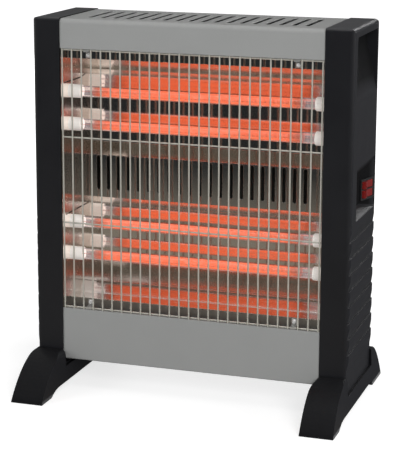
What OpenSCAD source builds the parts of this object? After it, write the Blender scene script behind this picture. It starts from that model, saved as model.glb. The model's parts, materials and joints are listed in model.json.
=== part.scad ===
// Quartz infrared heater: a grey sheet-metal body between two black moulded side
// panels, each standing in its own arched foot. Four glowing quartz tubes lie in a
// folded bright reflector behind a wire guard.
// The front faces -Y, +X is to the viewer's right, +Z is up, and the origin is on
// the floor under the middle of the whole heater. All sizes are in millimetres.

/* [Body] */
// Overall width across the two side panels
body_w = 400; // [360:5:520]
// Height of the sheet-metal body
body_h = 427; // [412:1:520]
// Depth of the sheet-metal body, front to back
body_d = 126; // [118:1:160]
// Height of the body's lower edge above the floor
floor_gap = 37; // [32:1:60]
// Thickness of the body's sheet metal
sheet_t = 0.8; // [0.6:0.1:1.2]
// Outside radius of the bend between the front and the top
bend_r = 6; // [3:0.5:9]
// Height of the plain strip above the opening
upper_strip_h = 36; // [30:1:48]
// Height of the plain strip below the opening
lower_strip_h = 66; // [54:1:72]
// Depth of the folded edge above and below the opening
hem_d = 8; // [5:0.5:9]
// Height of the top sheet's rear flange
rear_flange_h = 20; // [14:1:30]

/* [Vents] */
// Distance between the vent slots
vent_pitch = 16; // [12:0.5:24]
// Width of a vent slot
vent_w = 6.5; // [2.5:0.5:8]
// Plain width kept at each end of a row of vent slots
vent_margin = 24; // [16:1:40]
// Length of the slots in the top
top_vent_l = 78; // [50:1:84]
// Length of the slots in the back
back_vent_l = 46; // [30:1:60]
// Length of the slots in the base
base_vent_l = 60; // [30:1:70]

/* [Guard] */
// Diameter of the guard's wires
wire_d = 2; // [1.6:0.1:2.6]
// Distance between the upright wires
wire_pitch = 12.5; // [10:0.5:18]
// Number of level wires behind the upright ones
level_wires = 4; // [3:1:6]
// Distance from the opening's edges to the outer level wires
wire_edge = 1.6; // [1.4:0.1:3]

/* [Heating tubes] */
// Outside diameter of a quartz tube
tube_od = 13.6; // [12:0.2:14]
// Wall of a quartz tube
tube_wall = 0.9; // [0.7:0.1:1.2]
// Distance of the tubes behind the body's front
tube_back = 30; // [26:1:34]
// Distance between the two tubes of a pair
tube_pitch = 41; // [36:1:44]
// Distance between the middles of the two pairs
pair_pitch = 164.5; // [158:0.5:172]
// Height of the tubes' middle above the opening's middle
tube_rise = 4; // [0:0.5:5]
// Clearance between a heating coil and its tube
coil_gap = 0.4; // [0.3:0.1:1.2]
// Thickness of the heating coil's wire
coil_wire = 0.9; // [0.5:0.1:1.2]
// Distance from an end plate to the start of the coil
cold_end = 30; // [20:1:50]
// Diameter of the straight lead at each end of a coil
lead_d = 2; // [1.2:0.1:2.6]
// Diameter of a terminal stud
stud_d = 4; // [3:0.5:5]

/* [Ceramic caps] */
// Outside diameter of a cap
cap_od = 16.8; // [15.6:0.2:20]
// Length of a cap inside the end plate
cap_l = 16; // [11:0.5:20]
// Thickness of the cap between the end plate and the tube
cap_floor = 4.5; // [3:0.5:6]
// Diameter of the cap's neck in the end plate
neck_od = 10.5; // [8:0.5:12]
// Length of the neck outside the end plate
neck_l = 5; // [3:0.5:7]

/* [Reflector] */
// Thickness of the reflector's sheet
mirror_t = 0.6; // [0.5:0.1:0.8]
// Distance of the reflector's back behind the body's front
mirror_back = 64; // [56:1:70]
// Distance of the middle, slotted stretch behind the body's front
mirror_mid = 43; // [38:1:46]
// Distance of the front flanges behind the body's front
mirror_front = 10; // [10:0.5:13]
// Height of the front flanges that shows in the opening
mirror_lip = 12.5; // [11:0.5:16]
// Distance between the slots in the middle stretch
mirror_slot_pitch = 13.3; // [10:0.1:18]
// Length of the slots in the middle stretch
mirror_slot_l = 43; // [20:1:50]
// Width of the slots in the middle stretch
mirror_slot_w = 4.5; // [3:0.5:6]

/* [Side panels] */
// Width of a side panel
side_w = 35; // [33:1:44]
// Wall of the side panels and the feet
side_wall = 2.3; // [2:0.1:3]
// How far a side panel stands proud of the body's front and back
side_proud = 1.5; // [0.5:0.5:1.5]
// How far a side panel stands above the body's top
side_top = 1; // [0.5:0.5:1.5]
// Radius of the upright outer front edge and of the outer top edge
side_r = 6; // [4:0.5:8]
// Height of the ribbed part's upper end above the body's lower edge
rib_start = 188.5; // [160:0.5:189]
// Height of a rib's flat land
rib_land = 8; // [6:0.5:10]
// Height of the tapered groove above each land
rib_groove = 11.6; // [9:0.1:14]
// Depth of the grooves
rib_depth = 2; // [1:0.1:2.4]

/* [Hand grips] */
// Height of a hand grip
grip_h = 76; // [60:1:90]
// Depth of a hand grip below its upper edge
grip_depth = 14; // [10:0.5:16]
// Distance of the grip's upper edge below the body's top
grip_top = 10; // [9:0.5:16]
// Width of the rim in front of a hand grip
grip_rim = 15; // [12:0.5:24]
// Width of the rim behind a hand grip
grip_rear_rim = 6; // [5:0.5:14]

/* [Switch] */
// Height of the switch above the body's lower edge
switch_z = 222; // [219:1:240]
// Height of the recess's deep middle, around the switch
recess_floor_h = 32; // [30:1:36]
// Height of the long slope above the recess's deep middle
recess_top_slope = 24; // [15:1:34]
// Height of the short slope below the recess's deep middle
recess_low_slope = 8; // [6:0.5:8]
// Depth of the recess
recess_depth = 12; // [10:0.5:13]
// Length of the double switch's bezel, front to back
bezel_l = 31; // [30:0.5:33]
// Height of the double switch's bezel
bezel_h = 26; // [26:0.5:28]
// Thickness of the bezel
bezel_t = 2; // [1.5:0.1:2.5]
// Half of the angle that a rocker turns through
rocker_tilt = 11; // [8:0.5:12]

/* [Feet] */
// How far the toes reach in front of the body
toe_reach = 78; // [60:1:110]
// How far the heels reach behind the body
heel_reach = 54; // [44:1:90]
// Height of a foot
foot_h = 50; // [46:1:54]
// Height of the arch under a foot
arch_h = 7; // [5:0.5:9]
// How far a foot stands out beyond its side panel at the floor
foot_flare = 2.5; // [1:0.5:5]
// How far a foot reaches inwards past its side panel
foot_inset = 3.5; // [2:0.5:5]
// How far a side panel drops below the body into its foot
side_drop = 10; // [8:0.5:14]

/* [Hidden] */
$fn = 48;
eps = 0.01;
// Clearance of parts that pass through holes, and of parts that turn
fit = 0.2;
pin_fit = 0.05;

// Levels and half widths that several pieces share
body_top = floor_gap + body_h;
opening_top = body_top - upper_strip_h;
opening_low = floor_gap + lower_strip_h;
opening_mid = (opening_top + opening_low) / 2;
inner_x = body_w / 2 - side_w;
side_x = body_w / 2;
plate_x = inner_x - sheet_t;
front_y = (toe_reach - body_d - heel_reach) / 2;

// The back panel lies inside the top sheet's rear flange
back_y = body_d - 2 * sheet_t;
back_lap = 12;
back_top = body_top - rear_flange_h + back_lap;
base_z = floor_gap + sheet_t;
base_flange_h = 14;
lower_flange = 14;
low_bend_r = 2 * sheet_t;
rear_bend_r = 3;
relief = 0.3;
vent_count = floor((2 * (inner_x - vent_margin) - vent_w) / vent_pitch) + 1;
top_vent_y = (body_d - top_vent_l) / 2;
back_vent_gap = 100;
base_vent_y = (body_d - base_vent_l) / 2;
back_screw_x = inner_x - 22;
back_screw_z = [floor_gap + 8, back_top - 5];

// Guard
wire_clear = 0.5;
wire_count = floor(2 * (plate_x - wire_d / 2 - wire_clear) / wire_pitch) + 1;
guard_set = 0.2;
upright_y = guard_set + wire_d / 2;
wire_end = 0.3;
weld = 0.2;
level_y = upright_y + wire_d - weld;
level_low = opening_low + wire_edge;
level_step = (opening_top - opening_low - 2 * wire_edge) / (level_wires - 1);
guard_x = plate_x - wire_clear;

// Tubes, top to bottom
tube_mid = opening_mid + tube_rise;
tube_z = [
    tube_mid + pair_pitch / 2 + tube_pitch / 2,
    tube_mid + pair_pitch / 2 - tube_pitch / 2,
    tube_mid - pair_pitch / 2 + tube_pitch / 2,
    tube_mid - pair_pitch / 2 - tube_pitch / 2
];
tube_x = plate_x - cap_floor;
cap_edge = (cap_od - tube_od) / 4;
coil_x = plate_x - cold_end;
coil_od = tube_od - 2 * (tube_wall + coil_gap);
neck_x = inner_x + neck_l;
strip_t = 0.8;
strip_w = 9;
strip_end = 0.7 * strip_w;
nut_w = 8;
nut_h = 3.2;
stud_tip = 3;
stud_x = neck_x + strip_t + nut_h + stud_tip;
stud_root = 2;

// Reflector folds, measured from the tubes next to them
above_tube = 17.3;
below_tube = 26.3;
lean_start = 8;
lean = 0.8;
mid_fold = 13.2;
low_fold = 9.8;
slit = 1.5;
ramp_folds = [[9, 4.6], [26, 16.1]];
flange_cover = 8;
mirror_top = opening_top + flange_cover;
mirror_low = opening_low - flange_cover;
mid_high = tube_z[1] - below_tube - mid_fold;
mid_low = tube_z[2] + above_tube + mid_fold;
slot_top = mid_high - 1;
slot_margin = 28;
mirror_slots = floor(2 * (plate_x - slot_margin) / mirror_slot_pitch) + 1;

// Slits in the end plates above the upper tube of each pair
end_slit_gap = 3.2;
end_slit_h = 1.4;

// Guard clips and their screws
clip_bay = 2.5;
clip_x = ((wire_count - 1) / 2 - clip_bay) * wire_pitch;
clip_w = 7;
clip_t = 0.8;
clip_h = 9;
clip_lip = 1.2;
clip_screw_z = level_low + wire_d / 2 + clip_h * 0.6;
screw_head_d = 5.4;
screw_head_h = 2;
screw_d = 3;
screw_tip = 5;

// Side panel
side_low = floor_gap - side_drop;
side_high = body_top + side_top;
side_front = -side_proud;
side_back = body_d + side_proud;
cavity_front = side_front + side_wall;
cavity_back = side_back - side_wall;
cavity_x = side_x - rib_depth - side_wall;
rib_top = floor_gap + rib_start;
rib_pitch = rib_land + rib_groove;
rib_end_gap = 4;
rib_count = floor((rib_top - foot_h - rib_end_gap) / rib_pitch);
top_edge_r = 3.5;
rear_edge_r = 3;
boss_d = 9;
boss_h = 12;
flange_w = 7;
flange_y = max(sheet_t, cavity_front);
flange_gap = 8;

// Hand grip
grip_high = body_top - grip_top;
grip_low = grip_high - grip_h;
grip_r = 9;
grip_flat = 14;

// Switch recess: its rear wall is turned a little towards the front and holds the switch
recess_z = floor_gap + switch_z;
recess_low = recess_z - recess_floor_h / 2 - recess_low_slope;
recess_high = recess_z + recess_floor_h / 2 + recess_top_slope;
recess_front = 24;
recess_slope = 6;
recess_rim = 3.5;
recess_lip = 1;
recess_wall_l = 37;
wall_end = side_back - recess_rim;
wall_start = wall_end - recess_wall_l;
wall_turn = atan((recess_depth - recess_lip) / recess_wall_l);
switch_x = side_x - (recess_depth + recess_lip) / 2;
switch_y = (wall_start + wall_end) / 2;

// Double rocker switch
switch_body_l = bezel_l - 4;
switch_body_h = bezel_h - 3;
switch_depth = 18;
blade_l = 5.5;
blade_w = 5;
blade_t = 0.8;
blade_side = 6;
rocker_h = 9.4;
rocker_gap = 0.2;
rocker_z = 5.6;
rocker_r = 13;
rocker_pin_d = 2.4;
rocker_pin_l = 0.6;
rocker_keel = 3.5;
rocker_keel_l = 8;
pivot_in = 1.5;
pivot_depth = pivot_in + bezel_t;
rocker_rise = rocker_r * sin(rocker_tilt);
pocket_depth = 6.5;

// Feet
foot_in = inner_x - foot_inset;
foot_out = side_x + foot_flare;
foot_top_x = side_x + 0.5;
toe_y = -toe_reach;
heel_y = body_d + heel_reach;
foot_edge = 1.5;
foot_swell = foot_h - 8;
toe_slope_end = -10;
toe_swell_y = toe_y + toe_reach / 3;
heel_slope_end = body_d + 8;
heel_swell_y = heel_y - heel_reach * 0.37;
pad_l = 30;
pad_ramp = 26;
pad_bend = 12;
heel_pad_y = body_d + 4;
heel_ramp = 8;
foot_top_r = 9;
foot_seat_t = 3;
foot_pocket_z = side_low - foot_seat_t;
foot_screw_y = [body_d * 0.22, body_d * 0.78];
foot_screw_x = inner_x + side_w / 2;
foot_head_d = 6.4;
foot_ribs = 4;
foot_rib_t = 2.5;

// Wiring inside the side panels
wire_sleeve_d = 3;
wire_near = inner_x + 2.5 + wire_sleeve_d / 2;
cross_y = 60;
cross_z = base_z + 7;
wire_start = 2;
block_l = 30;
block_gap = 7.2;
block_y = cavity_back - block_l - block_gap;
block_z = floor_gap + 13;
block_h = 16;
block_t = 12;
well_pitch = 9;
well_d = 4.4;
well_depth = 5;
well_screw_d = 4;
well_screw_l = 3.5;
blade_tip = switch_depth + blade_l;
blade_y = switch_y + blade_tip * sin(wall_turn);
blade_x = switch_x - blade_tip * cos(wall_turn) - (blade_side + blade_t / 2) * sin(wall_turn);
sleeve_x = blade_x - wire_sleeve_d / 2 - pin_fit;

// Thermal cut-out
cutout_base_d = 18;
cutout_base_h = 3;
cutout_can_d = 15;
cutout_can_h = 6;
tab_side = 4;
tab_t = 0.8;
tab_w = 6;
tab_l = 5;

// Cord inlet in the right side panel's rear wall
inlet_rise = 18;
inlet_z = foot_h + inlet_rise;
inlet_x = inner_x + side_w / 2;
inlet_bore = 7;
inlet_neck = 10;
inlet_flange = 15;
inlet_lip = 2;

// ---------------------------------------------------------------- shared forms

// Puts what is drawn from the body's front plane into the heater's own frame
module in_place() translate([0, front_y, 0]) children();

// Draws the left-hand copy of a right-hand piece
module on_side(s) {
    if (s > 0) children();
    else mirror([1, 0, 0]) children();
}

// Extrudes a profile drawn in (Y, Z) along X, and one drawn in (X, Z) along Y
module along_x(x0, x1) translate([x0, 0, 0]) rotate([90, 0, 90]) linear_extrude(x1 - x0) children();
module along_y(y0, y1) translate([0, y1, 0]) rotate([90, 0, 0]) linear_extrude(y1 - y0) children();
module along_z(z0, z1) translate([0, 0, z0]) linear_extrude(z1 - z0) children();

// Box between two corners
module box(a, b) translate(a) cube(b - a);

// A cylinder along X or Y from one place to another
module rod_x(x0, x1, d) translate([x0, 0, 0]) rotate([0, 90, 0]) cylinder(h = x1 - x0, d = d);
module rod_y(y0, y1, d) translate([0, y0, 0]) rotate([-90, 0, 0]) cylinder(h = y1 - y0, d = d);

// Points on an arc, and on a curve that leaves a towards b and arrives at c from b
function arc(c, r, a0, a1, n) = [for (i = [0 : n])
    let (a = a0 + (a1 - a0) * i / n) c + r * [cos(a), sin(a)]];
function bow(a, b, c, n) = [for (i = [0 : n])
    let (t = i / n) (1 - t) * (1 - t) * a + 2 * t * (1 - t) * b + t * t * c];

// A folded sheet: the path is its face, and the sheet lies to the left of it
function seg_normal(a, b) = let (d = b - a) [-d[1], d[0]] / norm(d);
function fold_normal(p, i) =
    i == 0 ? seg_normal(p[0], p[1]) :
    i == len(p) - 1 ? seg_normal(p[i - 1], p[i]) :
    let (m = seg_normal(p[i - 1], p[i]), n = seg_normal(p[i], p[i + 1])) (m + n) / (1 + m * n);
module folded(p, t) polygon(concat(p,
    [for (i = [len(p) - 1 : -1 : 0]) p[i] + t * fold_normal(p, i)]));

// The piece between a square corner and its rounding, to be cut away there
module corner_cut(c, s, r) difference() {
    translate([min(c[0], c[0] - s[0] * r) - (s[0] > 0 ? 0 : eps), min(c[1], c[1] - s[1] * r) - (s[1] > 0 ? 0 : eps)])
        square(r + eps);
    translate([c[0] - s[0] * r, c[1] - s[1] * r]) circle(r);
}

// A round-ended slot, l long along Y of the drawing and w wide
module slot(w, l) {
    square([w, l - w], center = true);
    for (s = [-1, 1]) translate([0, s * (l - w) / 2]) circle(d = w);
}

// A row of slots centred on X = 0
module slot_row(count, pitch, w, l)
    for (i = [0 : count - 1]) translate([(i - (count - 1) / 2) * pitch, 0]) slot(w, l);

// A thin insulated wire along straight runs with round elbows
module wire_run(p, d) {
    for (i = [0 : len(p) - 2]) wire_leg(p[i], p[i + 1], d);
    for (i = [1 : len(p) - 2]) translate(p[i]) sphere(d = d);
}
module wire_leg(a, b, d) {
    v = b - a;
    l = norm(v);
    turn = abs(v[0]) > eps ? [0, sign(v[0]) * 90, 0] : abs(v[1]) > eps ? [-sign(v[1]) * 90, 0, 0] :
        v[2] > 0 ? [0, 0, 0] : [180, 0, 0];
    translate(a) rotate(turn) cylinder(h = l, d = d);
}

// A pan-head screw pointing along -Z, its head's underside at the origin
module pan_screw(head_d, head_h, shank_d, shank_l) {
    dome_r = 0.72 * head_d;
    intersection() {
        cylinder(h = head_h, d = head_d);
        translate([0, 0, head_h - dome_r]) sphere(r = dome_r);
    }
    translate([0, 0, -shank_l]) cylinder(h = shank_l + eps, d = shank_d);
}

// ---------------------------------------------------------------- sheet metal

// Holes of the screws that hold the back panel to the base plate and to the top sheet
module back_screw_holes() for (s = [-1, 1], z = back_screw_z)
    translate([s * back_screw_x, 0, z]) rod_y(back_y - 2, body_d + 1, screw_d + fit);

// Upper front strip, bent over into the slotted top and down behind the back panel
module top_shell() color([0.56, 0.57, 0.56]) in_place() difference() {
    along_x(-inner_x, inner_x) folded(concat(
        [[body_d, body_top - rear_flange_h]],
        arc([body_d - rear_bend_r, body_top - rear_bend_r], rear_bend_r, 0, 90, 5),
        arc([bend_r, body_top - bend_r], bend_r, 90, 180, 8),
        [[0, opening_top], [hem_d, opening_top]]), sheet_t);
    translate([0, top_vent_y + top_vent_l / 2, body_top - 2 * sheet_t])
        linear_extrude(3 * sheet_t) slot_row(vent_count, vent_pitch, vent_w, top_vent_l);
    back_screw_holes();
}

// Lower front strip with a folded edge above and a flange under the base plate
module lower_panel() color([0.56, 0.57, 0.56]) in_place()
    along_x(-inner_x, inner_x) folded(concat(
        [[hem_d, opening_low]],
        [[0, opening_low]],
        arc([low_bend_r, floor_gap + low_bend_r], low_bend_r, 180, 270, 4),
        [[lower_flange, floor_gap]]), sheet_t);

// Slotted bottom sheet, turned up at the back
module base_plate() color([0.62, 0.63, 0.63]) in_place() difference() {
    along_x(-inner_x, inner_x) folded([[low_bend_r + relief, base_z], [back_y, base_z],
        [back_y, base_z + base_flange_h]], sheet_t);
    translate([0, base_vent_y + base_vent_l / 2, base_z - sheet_t])
        linear_extrude(3 * sheet_t) slot_row(vent_count, vent_pitch, vent_w, base_vent_l);
    back_screw_holes();
}

// Back sheet with two rows of upright vent slots
module back_panel() color([0.55, 0.56, 0.55]) in_place() difference() {
    box([-inner_x, back_y, floor_gap], [inner_x, back_y + sheet_t, back_top]);
    for (s = [-1, 1]) along_y(back_y - 1, body_d)
        translate([0, opening_mid + s * (back_vent_l + back_vent_gap) / 2])
            slot_row(vent_count, vent_pitch, vent_w, back_vent_l);
    back_screw_holes();
}

// Outline of an end plate inside the shell's bends and in front of the base's flange
module end_outline() difference() {
    translate([sheet_t, base_z + sheet_t]) square([back_y - sheet_t, body_top - base_z - 2 * sheet_t]);
    corner_cut([sheet_t, body_top - sheet_t], [-1, 1], bend_r);
    corner_cut([back_y, body_top - sheet_t], [1, 1], rear_bend_r);
    corner_cut([sheet_t, base_z + sheet_t], [-1, -1], low_bend_r);
    translate([back_y - sheet_t - relief, base_z]) square([2 * sheet_t, base_flange_h + relief]);
}

// Upright end sheet that carries the tubes, flanged outwards into the side panel
module end_plate() color([0.8, 0.81, 0.82]) in_place() difference() {
    union() {
        along_x(plate_x, inner_x) end_outline();
        box([plate_x, flange_y, side_low + boss_h + side_wall],
            [inner_x + flange_w, flange_y + sheet_t, grip_low - flange_gap]);
        box([plate_x, back_y - sheet_t, base_z + base_flange_h + 2 * sheet_t],
            [inner_x + flange_w, back_y, body_top - 3 * bend_r]);
    }
    for (z = [opening_low - sheet_t, opening_top])
        box([plate_x - 1, -1, z - relief], [inner_x + eps, hem_d + relief, z + sheet_t + relief]);
    for (z = tube_z) translate([0, tube_back, z]) rod_x(plate_x - 1, inner_x + 1, neck_od + fit);
    for (z = [tube_z[0] + cap_od / 2 + end_slit_gap, tube_z[2] + cap_od / 2 + end_slit_gap])
        box([plate_x - 1, mirror_front + 1, z], [inner_x + 1, mirror_back - 1, z + end_slit_h]);
    translate([0, cross_y, cross_z]) rod_x(plate_x - 1, inner_x + 1, wire_sleeve_d + 2 * fit);
}
module left_end_plate() on_side(-1) end_plate();
module right_end_plate() on_side(1) end_plate();

// The lower two screws sit on the back panel, the upper two on the top sheet's flange
module back_screws() color([0.6, 0.6, 0.6]) in_place() for (s = [-1, 1], i = [0, 1])
    translate([s * back_screw_x, [back_y + sheet_t, body_d][i], back_screw_z[i]]) rotate([-90, 0, 0])
        pan_screw(screw_head_d, screw_head_h, screw_d, 2 * sheet_t + screw_tip);

// ---------------------------------------------------------------- guard

// Upright wires welded to the level ones behind them
module wire_guard() color([0.78, 0.77, 0.75]) in_place() {
    for (i = [0 : wire_count - 1])
        translate([(i - (wire_count - 1) / 2) * wire_pitch, upright_y, opening_low + wire_end])
            cylinder(h = opening_top - opening_low - 2 * wire_end, d = wire_d);
    for (k = [0 : level_wires - 1])
        translate([0, level_y, level_low + k * level_step]) rod_x(-guard_x, guard_x, wire_d);
}

// A clip that hooks round the outer level wire, drawn for the lower edge
module guard_clip() difference() {
    along_x(-clip_w / 2, clip_w / 2) folded([
        [level_y - wire_d / 2, level_low - clip_lip],
        [level_y - wire_d / 2, level_low + wire_d / 2],
        [mirror_front, level_low + wire_d / 2],
        [mirror_front, level_low + wire_d / 2 + clip_h]], clip_t);
    translate([0, 0, clip_screw_z]) rod_y(0, body_d, screw_d + fit);
}

// Repeats a lower-edge fitting at both clips below and, turned over, at both above
module at_clips() for (s = [-1, 1]) {
    translate([s * clip_x, 0, 0]) children();
    translate([s * clip_x, 0, 2 * opening_mid]) mirror([0, 0, 1]) children();
}
module guard_clips() color([0.8, 0.8, 0.8]) in_place() at_clips() guard_clip();
module guard_screws() color([0.9, 0.9, 0.9]) in_place() at_clips()
    translate([0, mirror_front - clip_t, clip_screw_z]) rotate([90, 0, 0])
        pan_screw(screw_head_d, screw_head_h, screw_d, clip_t + mirror_t + screw_tip);

// ---------------------------------------------------------------- reflector

// The two troughs with the slotted stretch between them
module main_reflector() color([0.78, 0.76, 0.74]) in_place() difference() {
    along_x(-plate_x, plate_x) folded([
        [mirror_back, tube_z[3] - low_fold],
        [mirror_back, tube_z[2] + above_tube],
        [mirror_mid, mid_low],
        [mirror_mid, mid_high],
        [mirror_back, tube_z[1] - below_tube],
        [mirror_back, tube_z[0] + lean_start],
        [mirror_back - lean, tube_z[0] + above_tube],
        [mirror_front, opening_top - mirror_lip],
        [mirror_front, mirror_top]], -mirror_t);
    along_y(mirror_mid - 1, mirror_mid + mirror_t + 1) translate([0, slot_top - mirror_slot_l / 2])
        slot_row(mirror_slots, mirror_slot_pitch, mirror_slot_w, mirror_slot_l);
    for (s = [-1, 1]) translate([s * clip_x, 0, 2 * opening_mid - clip_screw_z])
        rod_y(mirror_front - 1, mirror_front + 2, screw_d + fit);
}

// Separate sheet that carries the last trough forward to the opening's lower edge
module lower_reflector() color([0.78, 0.76, 0.74]) in_place() difference() {
    lip = [mirror_front, opening_low + mirror_lip];
    along_x(-plate_x, plate_x) folded([
        [mirror_front, mirror_low], lip, lip + ramp_folds[0], lip + ramp_folds[1],
        [mirror_back + 2 * slit, tube_z[3] - low_fold - slit]], -mirror_t);
    for (s = [-1, 1]) translate([s * clip_x, 0, clip_screw_z])
        rod_y(mirror_front - 1, mirror_front + 2, screw_d + fit);
}

// ---------------------------------------------------------------- heating tubes

// Plain quartz tube between two caps
module quartz_tube(n) color([0.9, 0.9, 0.92, 0.5]) in_place()
    translate([0, tube_back, tube_z[n - 1]]) difference() {
        rod_x(-tube_x, tube_x, tube_od);
        rod_x(-tube_x - 1, tube_x + 1, tube_od - 2 * tube_wall);
    }
module quartz_tube_1() quartz_tube(1);
module quartz_tube_2() quartz_tube(2);
module quartz_tube_3() quartz_tube(3);
module quartz_tube_4() quartz_tube(4);

// Heating coil as the sleeve its fine turns fill. At each end its last turn crosses to
// the middle and runs on as a straight lead to a threaded stud
module heating_coil(n) color([1, 0.45, 0.3]) in_place()
    translate([0, tube_back, tube_z[n - 1]]) {
        difference() {
            rod_x(-coil_x, coil_x, coil_od);
            rod_x(-coil_x - 1, coil_x + 1, coil_od - 2 * coil_wire);
        }
        for (s = [-1, 1]) on_side(s) {
            box([coil_x - coil_wire, -coil_wire / 2, -coil_od / 2 + coil_wire / 2],
                [coil_x, coil_wire / 2, coil_od / 2 - coil_wire / 2]);
            rod_x(coil_x - eps, tube_x + stud_root, lead_d);
            rod_x(tube_x + stud_root - eps, stud_x, stud_d);
        }
    }
module heating_coil_1() heating_coil(1);
module heating_coil_2() heating_coil(2);
module heating_coil_3() heating_coil(3);
module heating_coil_4() heating_coil(4);

// Ceramic cap turned about the tube: a socket for the tube, a neck through the plate
module ceramic_cap(n) color([0.95, 0.94, 0.92]) in_place()
    translate([plate_x, tube_back, tube_z[n - 1]]) rotate([0, 90, 0]) rotate_extrude() polygon([
        [tube_od / 2 + pin_fit, -cap_l],
        [cap_od / 2 - cap_edge, -cap_l],
        [cap_od / 2, -cap_l + cap_edge],
        [cap_od / 2, 0],
        [neck_od / 2, 0],
        [neck_od / 2, sheet_t + neck_l],
        [stud_d / 2 + pin_fit, sheet_t + neck_l],
        [stud_d / 2 + pin_fit, -cap_floor],
        [tube_od / 2 + pin_fit, -cap_floor]]);
module left_cap_1() on_side(-1) ceramic_cap(1);
module left_cap_2() on_side(-1) ceramic_cap(2);
module left_cap_3() on_side(-1) ceramic_cap(3);
module left_cap_4() on_side(-1) ceramic_cap(4);
module right_cap_1() on_side(1) ceramic_cap(1);
module right_cap_2() on_side(1) ceramic_cap(2);
module right_cap_3() on_side(1) ceramic_cap(3);
module right_cap_4() on_side(1) ceramic_cap(4);

// Metal strip that joins the studs of some tubes, with a hole for each stud
module link_strip(first, last) difference() {
    box([neck_x, tube_back - strip_w / 2, tube_z[last - 1] - strip_end],
        [neck_x + strip_t, tube_back + strip_w / 2, tube_z[first - 1] + strip_end]);
    for (n = [first : last]) translate([0, tube_back, tube_z[n - 1]])
        rod_x(neck_x - 1, neck_x + strip_t + 1, stud_d + fit);
}
module left_link_strip() color([0.8, 0.6, 0.4]) in_place() on_side(-1) link_strip(1, 4);
module right_link_strips() color([0.8, 0.6, 0.4]) in_place() {
    link_strip(1, 2);
    link_strip(3, 4);
}

// Hexagonal nuts on the studs
module stud_nuts() in_place() for (z = tube_z)
    translate([neck_x + strip_t, tube_back, z]) rotate([0, 90, 0]) difference() {
        cylinder(h = nut_h, d = nut_w, $fn = 6);
        translate([0, 0, -1]) cylinder(h = nut_h + 2, d = stud_d + pin_fit);
    }
module left_stud_nuts() color([0.7, 0.7, 0.7]) on_side(-1) stud_nuts();
module right_stud_nuts() color([0.7, 0.7, 0.7]) on_side(1) stud_nuts();

// ---------------------------------------------------------------- side panels

// Outer side outline, seen from the front: plain above, lands and grooves below
module rib_outline() difference() {
    polygon(concat(
        [[inner_x, side_low], [inner_x, side_high], [side_x, side_high], [side_x, rib_top]],
        [for (k = [0 : rib_count - 1]) for (p = [
            [-rib_depth, -rib_groove], [0, -rib_groove], [0, -rib_pitch]])
            [side_x + p[0], rib_top + p[1] - k * rib_pitch]],
        [[side_x - rib_depth, rib_top - rib_count * rib_pitch - rib_groove],
            [side_x - rib_depth, side_low]]));
    corner_cut([side_x, side_high], [1, 1], side_r);
}

// Solid outer form of a side panel
module side_block() intersection() {
    along_y(side_front, side_back) rib_outline();
    along_z(side_low, side_high) difference() {
        translate([inner_x, side_front]) square([side_w, side_back - side_front]);
        corner_cut([side_x, side_front], [1, -1], side_r);
        corner_cut([side_x, side_back], [1, 1], rear_edge_r);
    }
    along_x(inner_x, side_x) difference() {
        translate([side_front, side_low]) square([side_back - side_front, side_high - side_low]);
        corner_cut([side_front, side_high], [-1, 1], top_edge_r);
        corner_cut([side_back, side_high], [1, 1], top_edge_r);
    }
}

// Hand grip: deepest under its upper edge, running out to nothing at the bottom.
// g is how much larger the form is drawn, to keep a wall behind the real one
module grip_form(g) intersection() {
    along_y(side_front, side_back) polygon([
        [side_x + 1, grip_low - 1 - g], [side_x, grip_low - g],
        [side_x - grip_depth - g, grip_high - grip_flat - g],
        [side_x - grip_depth - g, grip_high + 1 + g], [side_x + 1, grip_high + g]]);
    along_x(side_x - grip_depth - g, side_x + 1) difference() {
        translate([grip_rim - side_proud - g, grip_low - 2 - g])
            square([side_back - grip_rear_rim - grip_rim + side_proud + 2 * g, grip_h + 4 + 2 * g]);
        corner_cut([grip_rim - side_proud - g, grip_high + 2 + g], [-1, 1], grip_r);
    }
}

// Recess of the switch, with sloping ends and a rear wall turned to the front
module recess_form(g) intersection() {
    along_z(recess_low - g, recess_high + g) polygon([
        [side_x + 1, recess_front - g],
        [side_x, recess_front - g],
        [side_x - recess_depth - g, recess_front + recess_slope - g],
        [side_x - recess_depth - g, wall_start + g / 4],
        [side_x - recess_lip - g, wall_end + g / 4],
        [side_x + 1, wall_end + g / 4]]);
    along_y(side_front, side_back) polygon([
        [side_x + 1, recess_low - g],
        [side_x, recess_low - g],
        [side_x - recess_depth - g, recess_low + recess_low_slope - g],
        [side_x - recess_depth - g, recess_high - recess_top_slope + g],
        [side_x, recess_high + g],
        [side_x + 1, recess_high + g]]);
}

// Puts what is drawn round the switch's middle, facing +X, on the recess's rear wall
module at_switch() translate([switch_x, switch_y, recess_z]) rotate([0, 0, -wall_turn]) children();

// Hollow moulding, open towards the body; only the right one has the switch and inlet
module side_panel(with_switch) color([0.12, 0.12, 0.13]) in_place() difference() {
    union() {
        difference() {
            side_block();
            difference() {
                box([inner_x - 1, cavity_front, side_low + side_wall],
                    [cavity_x, cavity_back, side_high - side_wall]);
                grip_form(side_wall);
                if (with_switch) recess_form(side_wall);
            }
            grip_form(0);
            if (with_switch) recess_form(0);
        }
        for (y = foot_screw_y) translate([foot_screw_x, y, side_low]) cylinder(h = boss_h, d = boss_d);
    }
    for (y = foot_screw_y) translate([foot_screw_x, y, side_low - 1])
        cylinder(h = boss_h + 2, d = screw_d + fit);
    if (with_switch) {
        at_switch() translate([-side_wall * 3, -switch_body_l / 2 - fit, -switch_body_h / 2 - fit])
            cube([side_wall * 5, switch_body_l + 2 * fit, switch_body_h + 2 * fit]);
        translate([inlet_x, 0, inlet_z]) rod_y(cavity_back - 1, side_back + 1, inlet_neck);
    }
}
module left_side_panel() on_side(-1) side_panel(false);
module right_side_panel() side_panel(true);

// ---------------------------------------------------------------- feet

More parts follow.
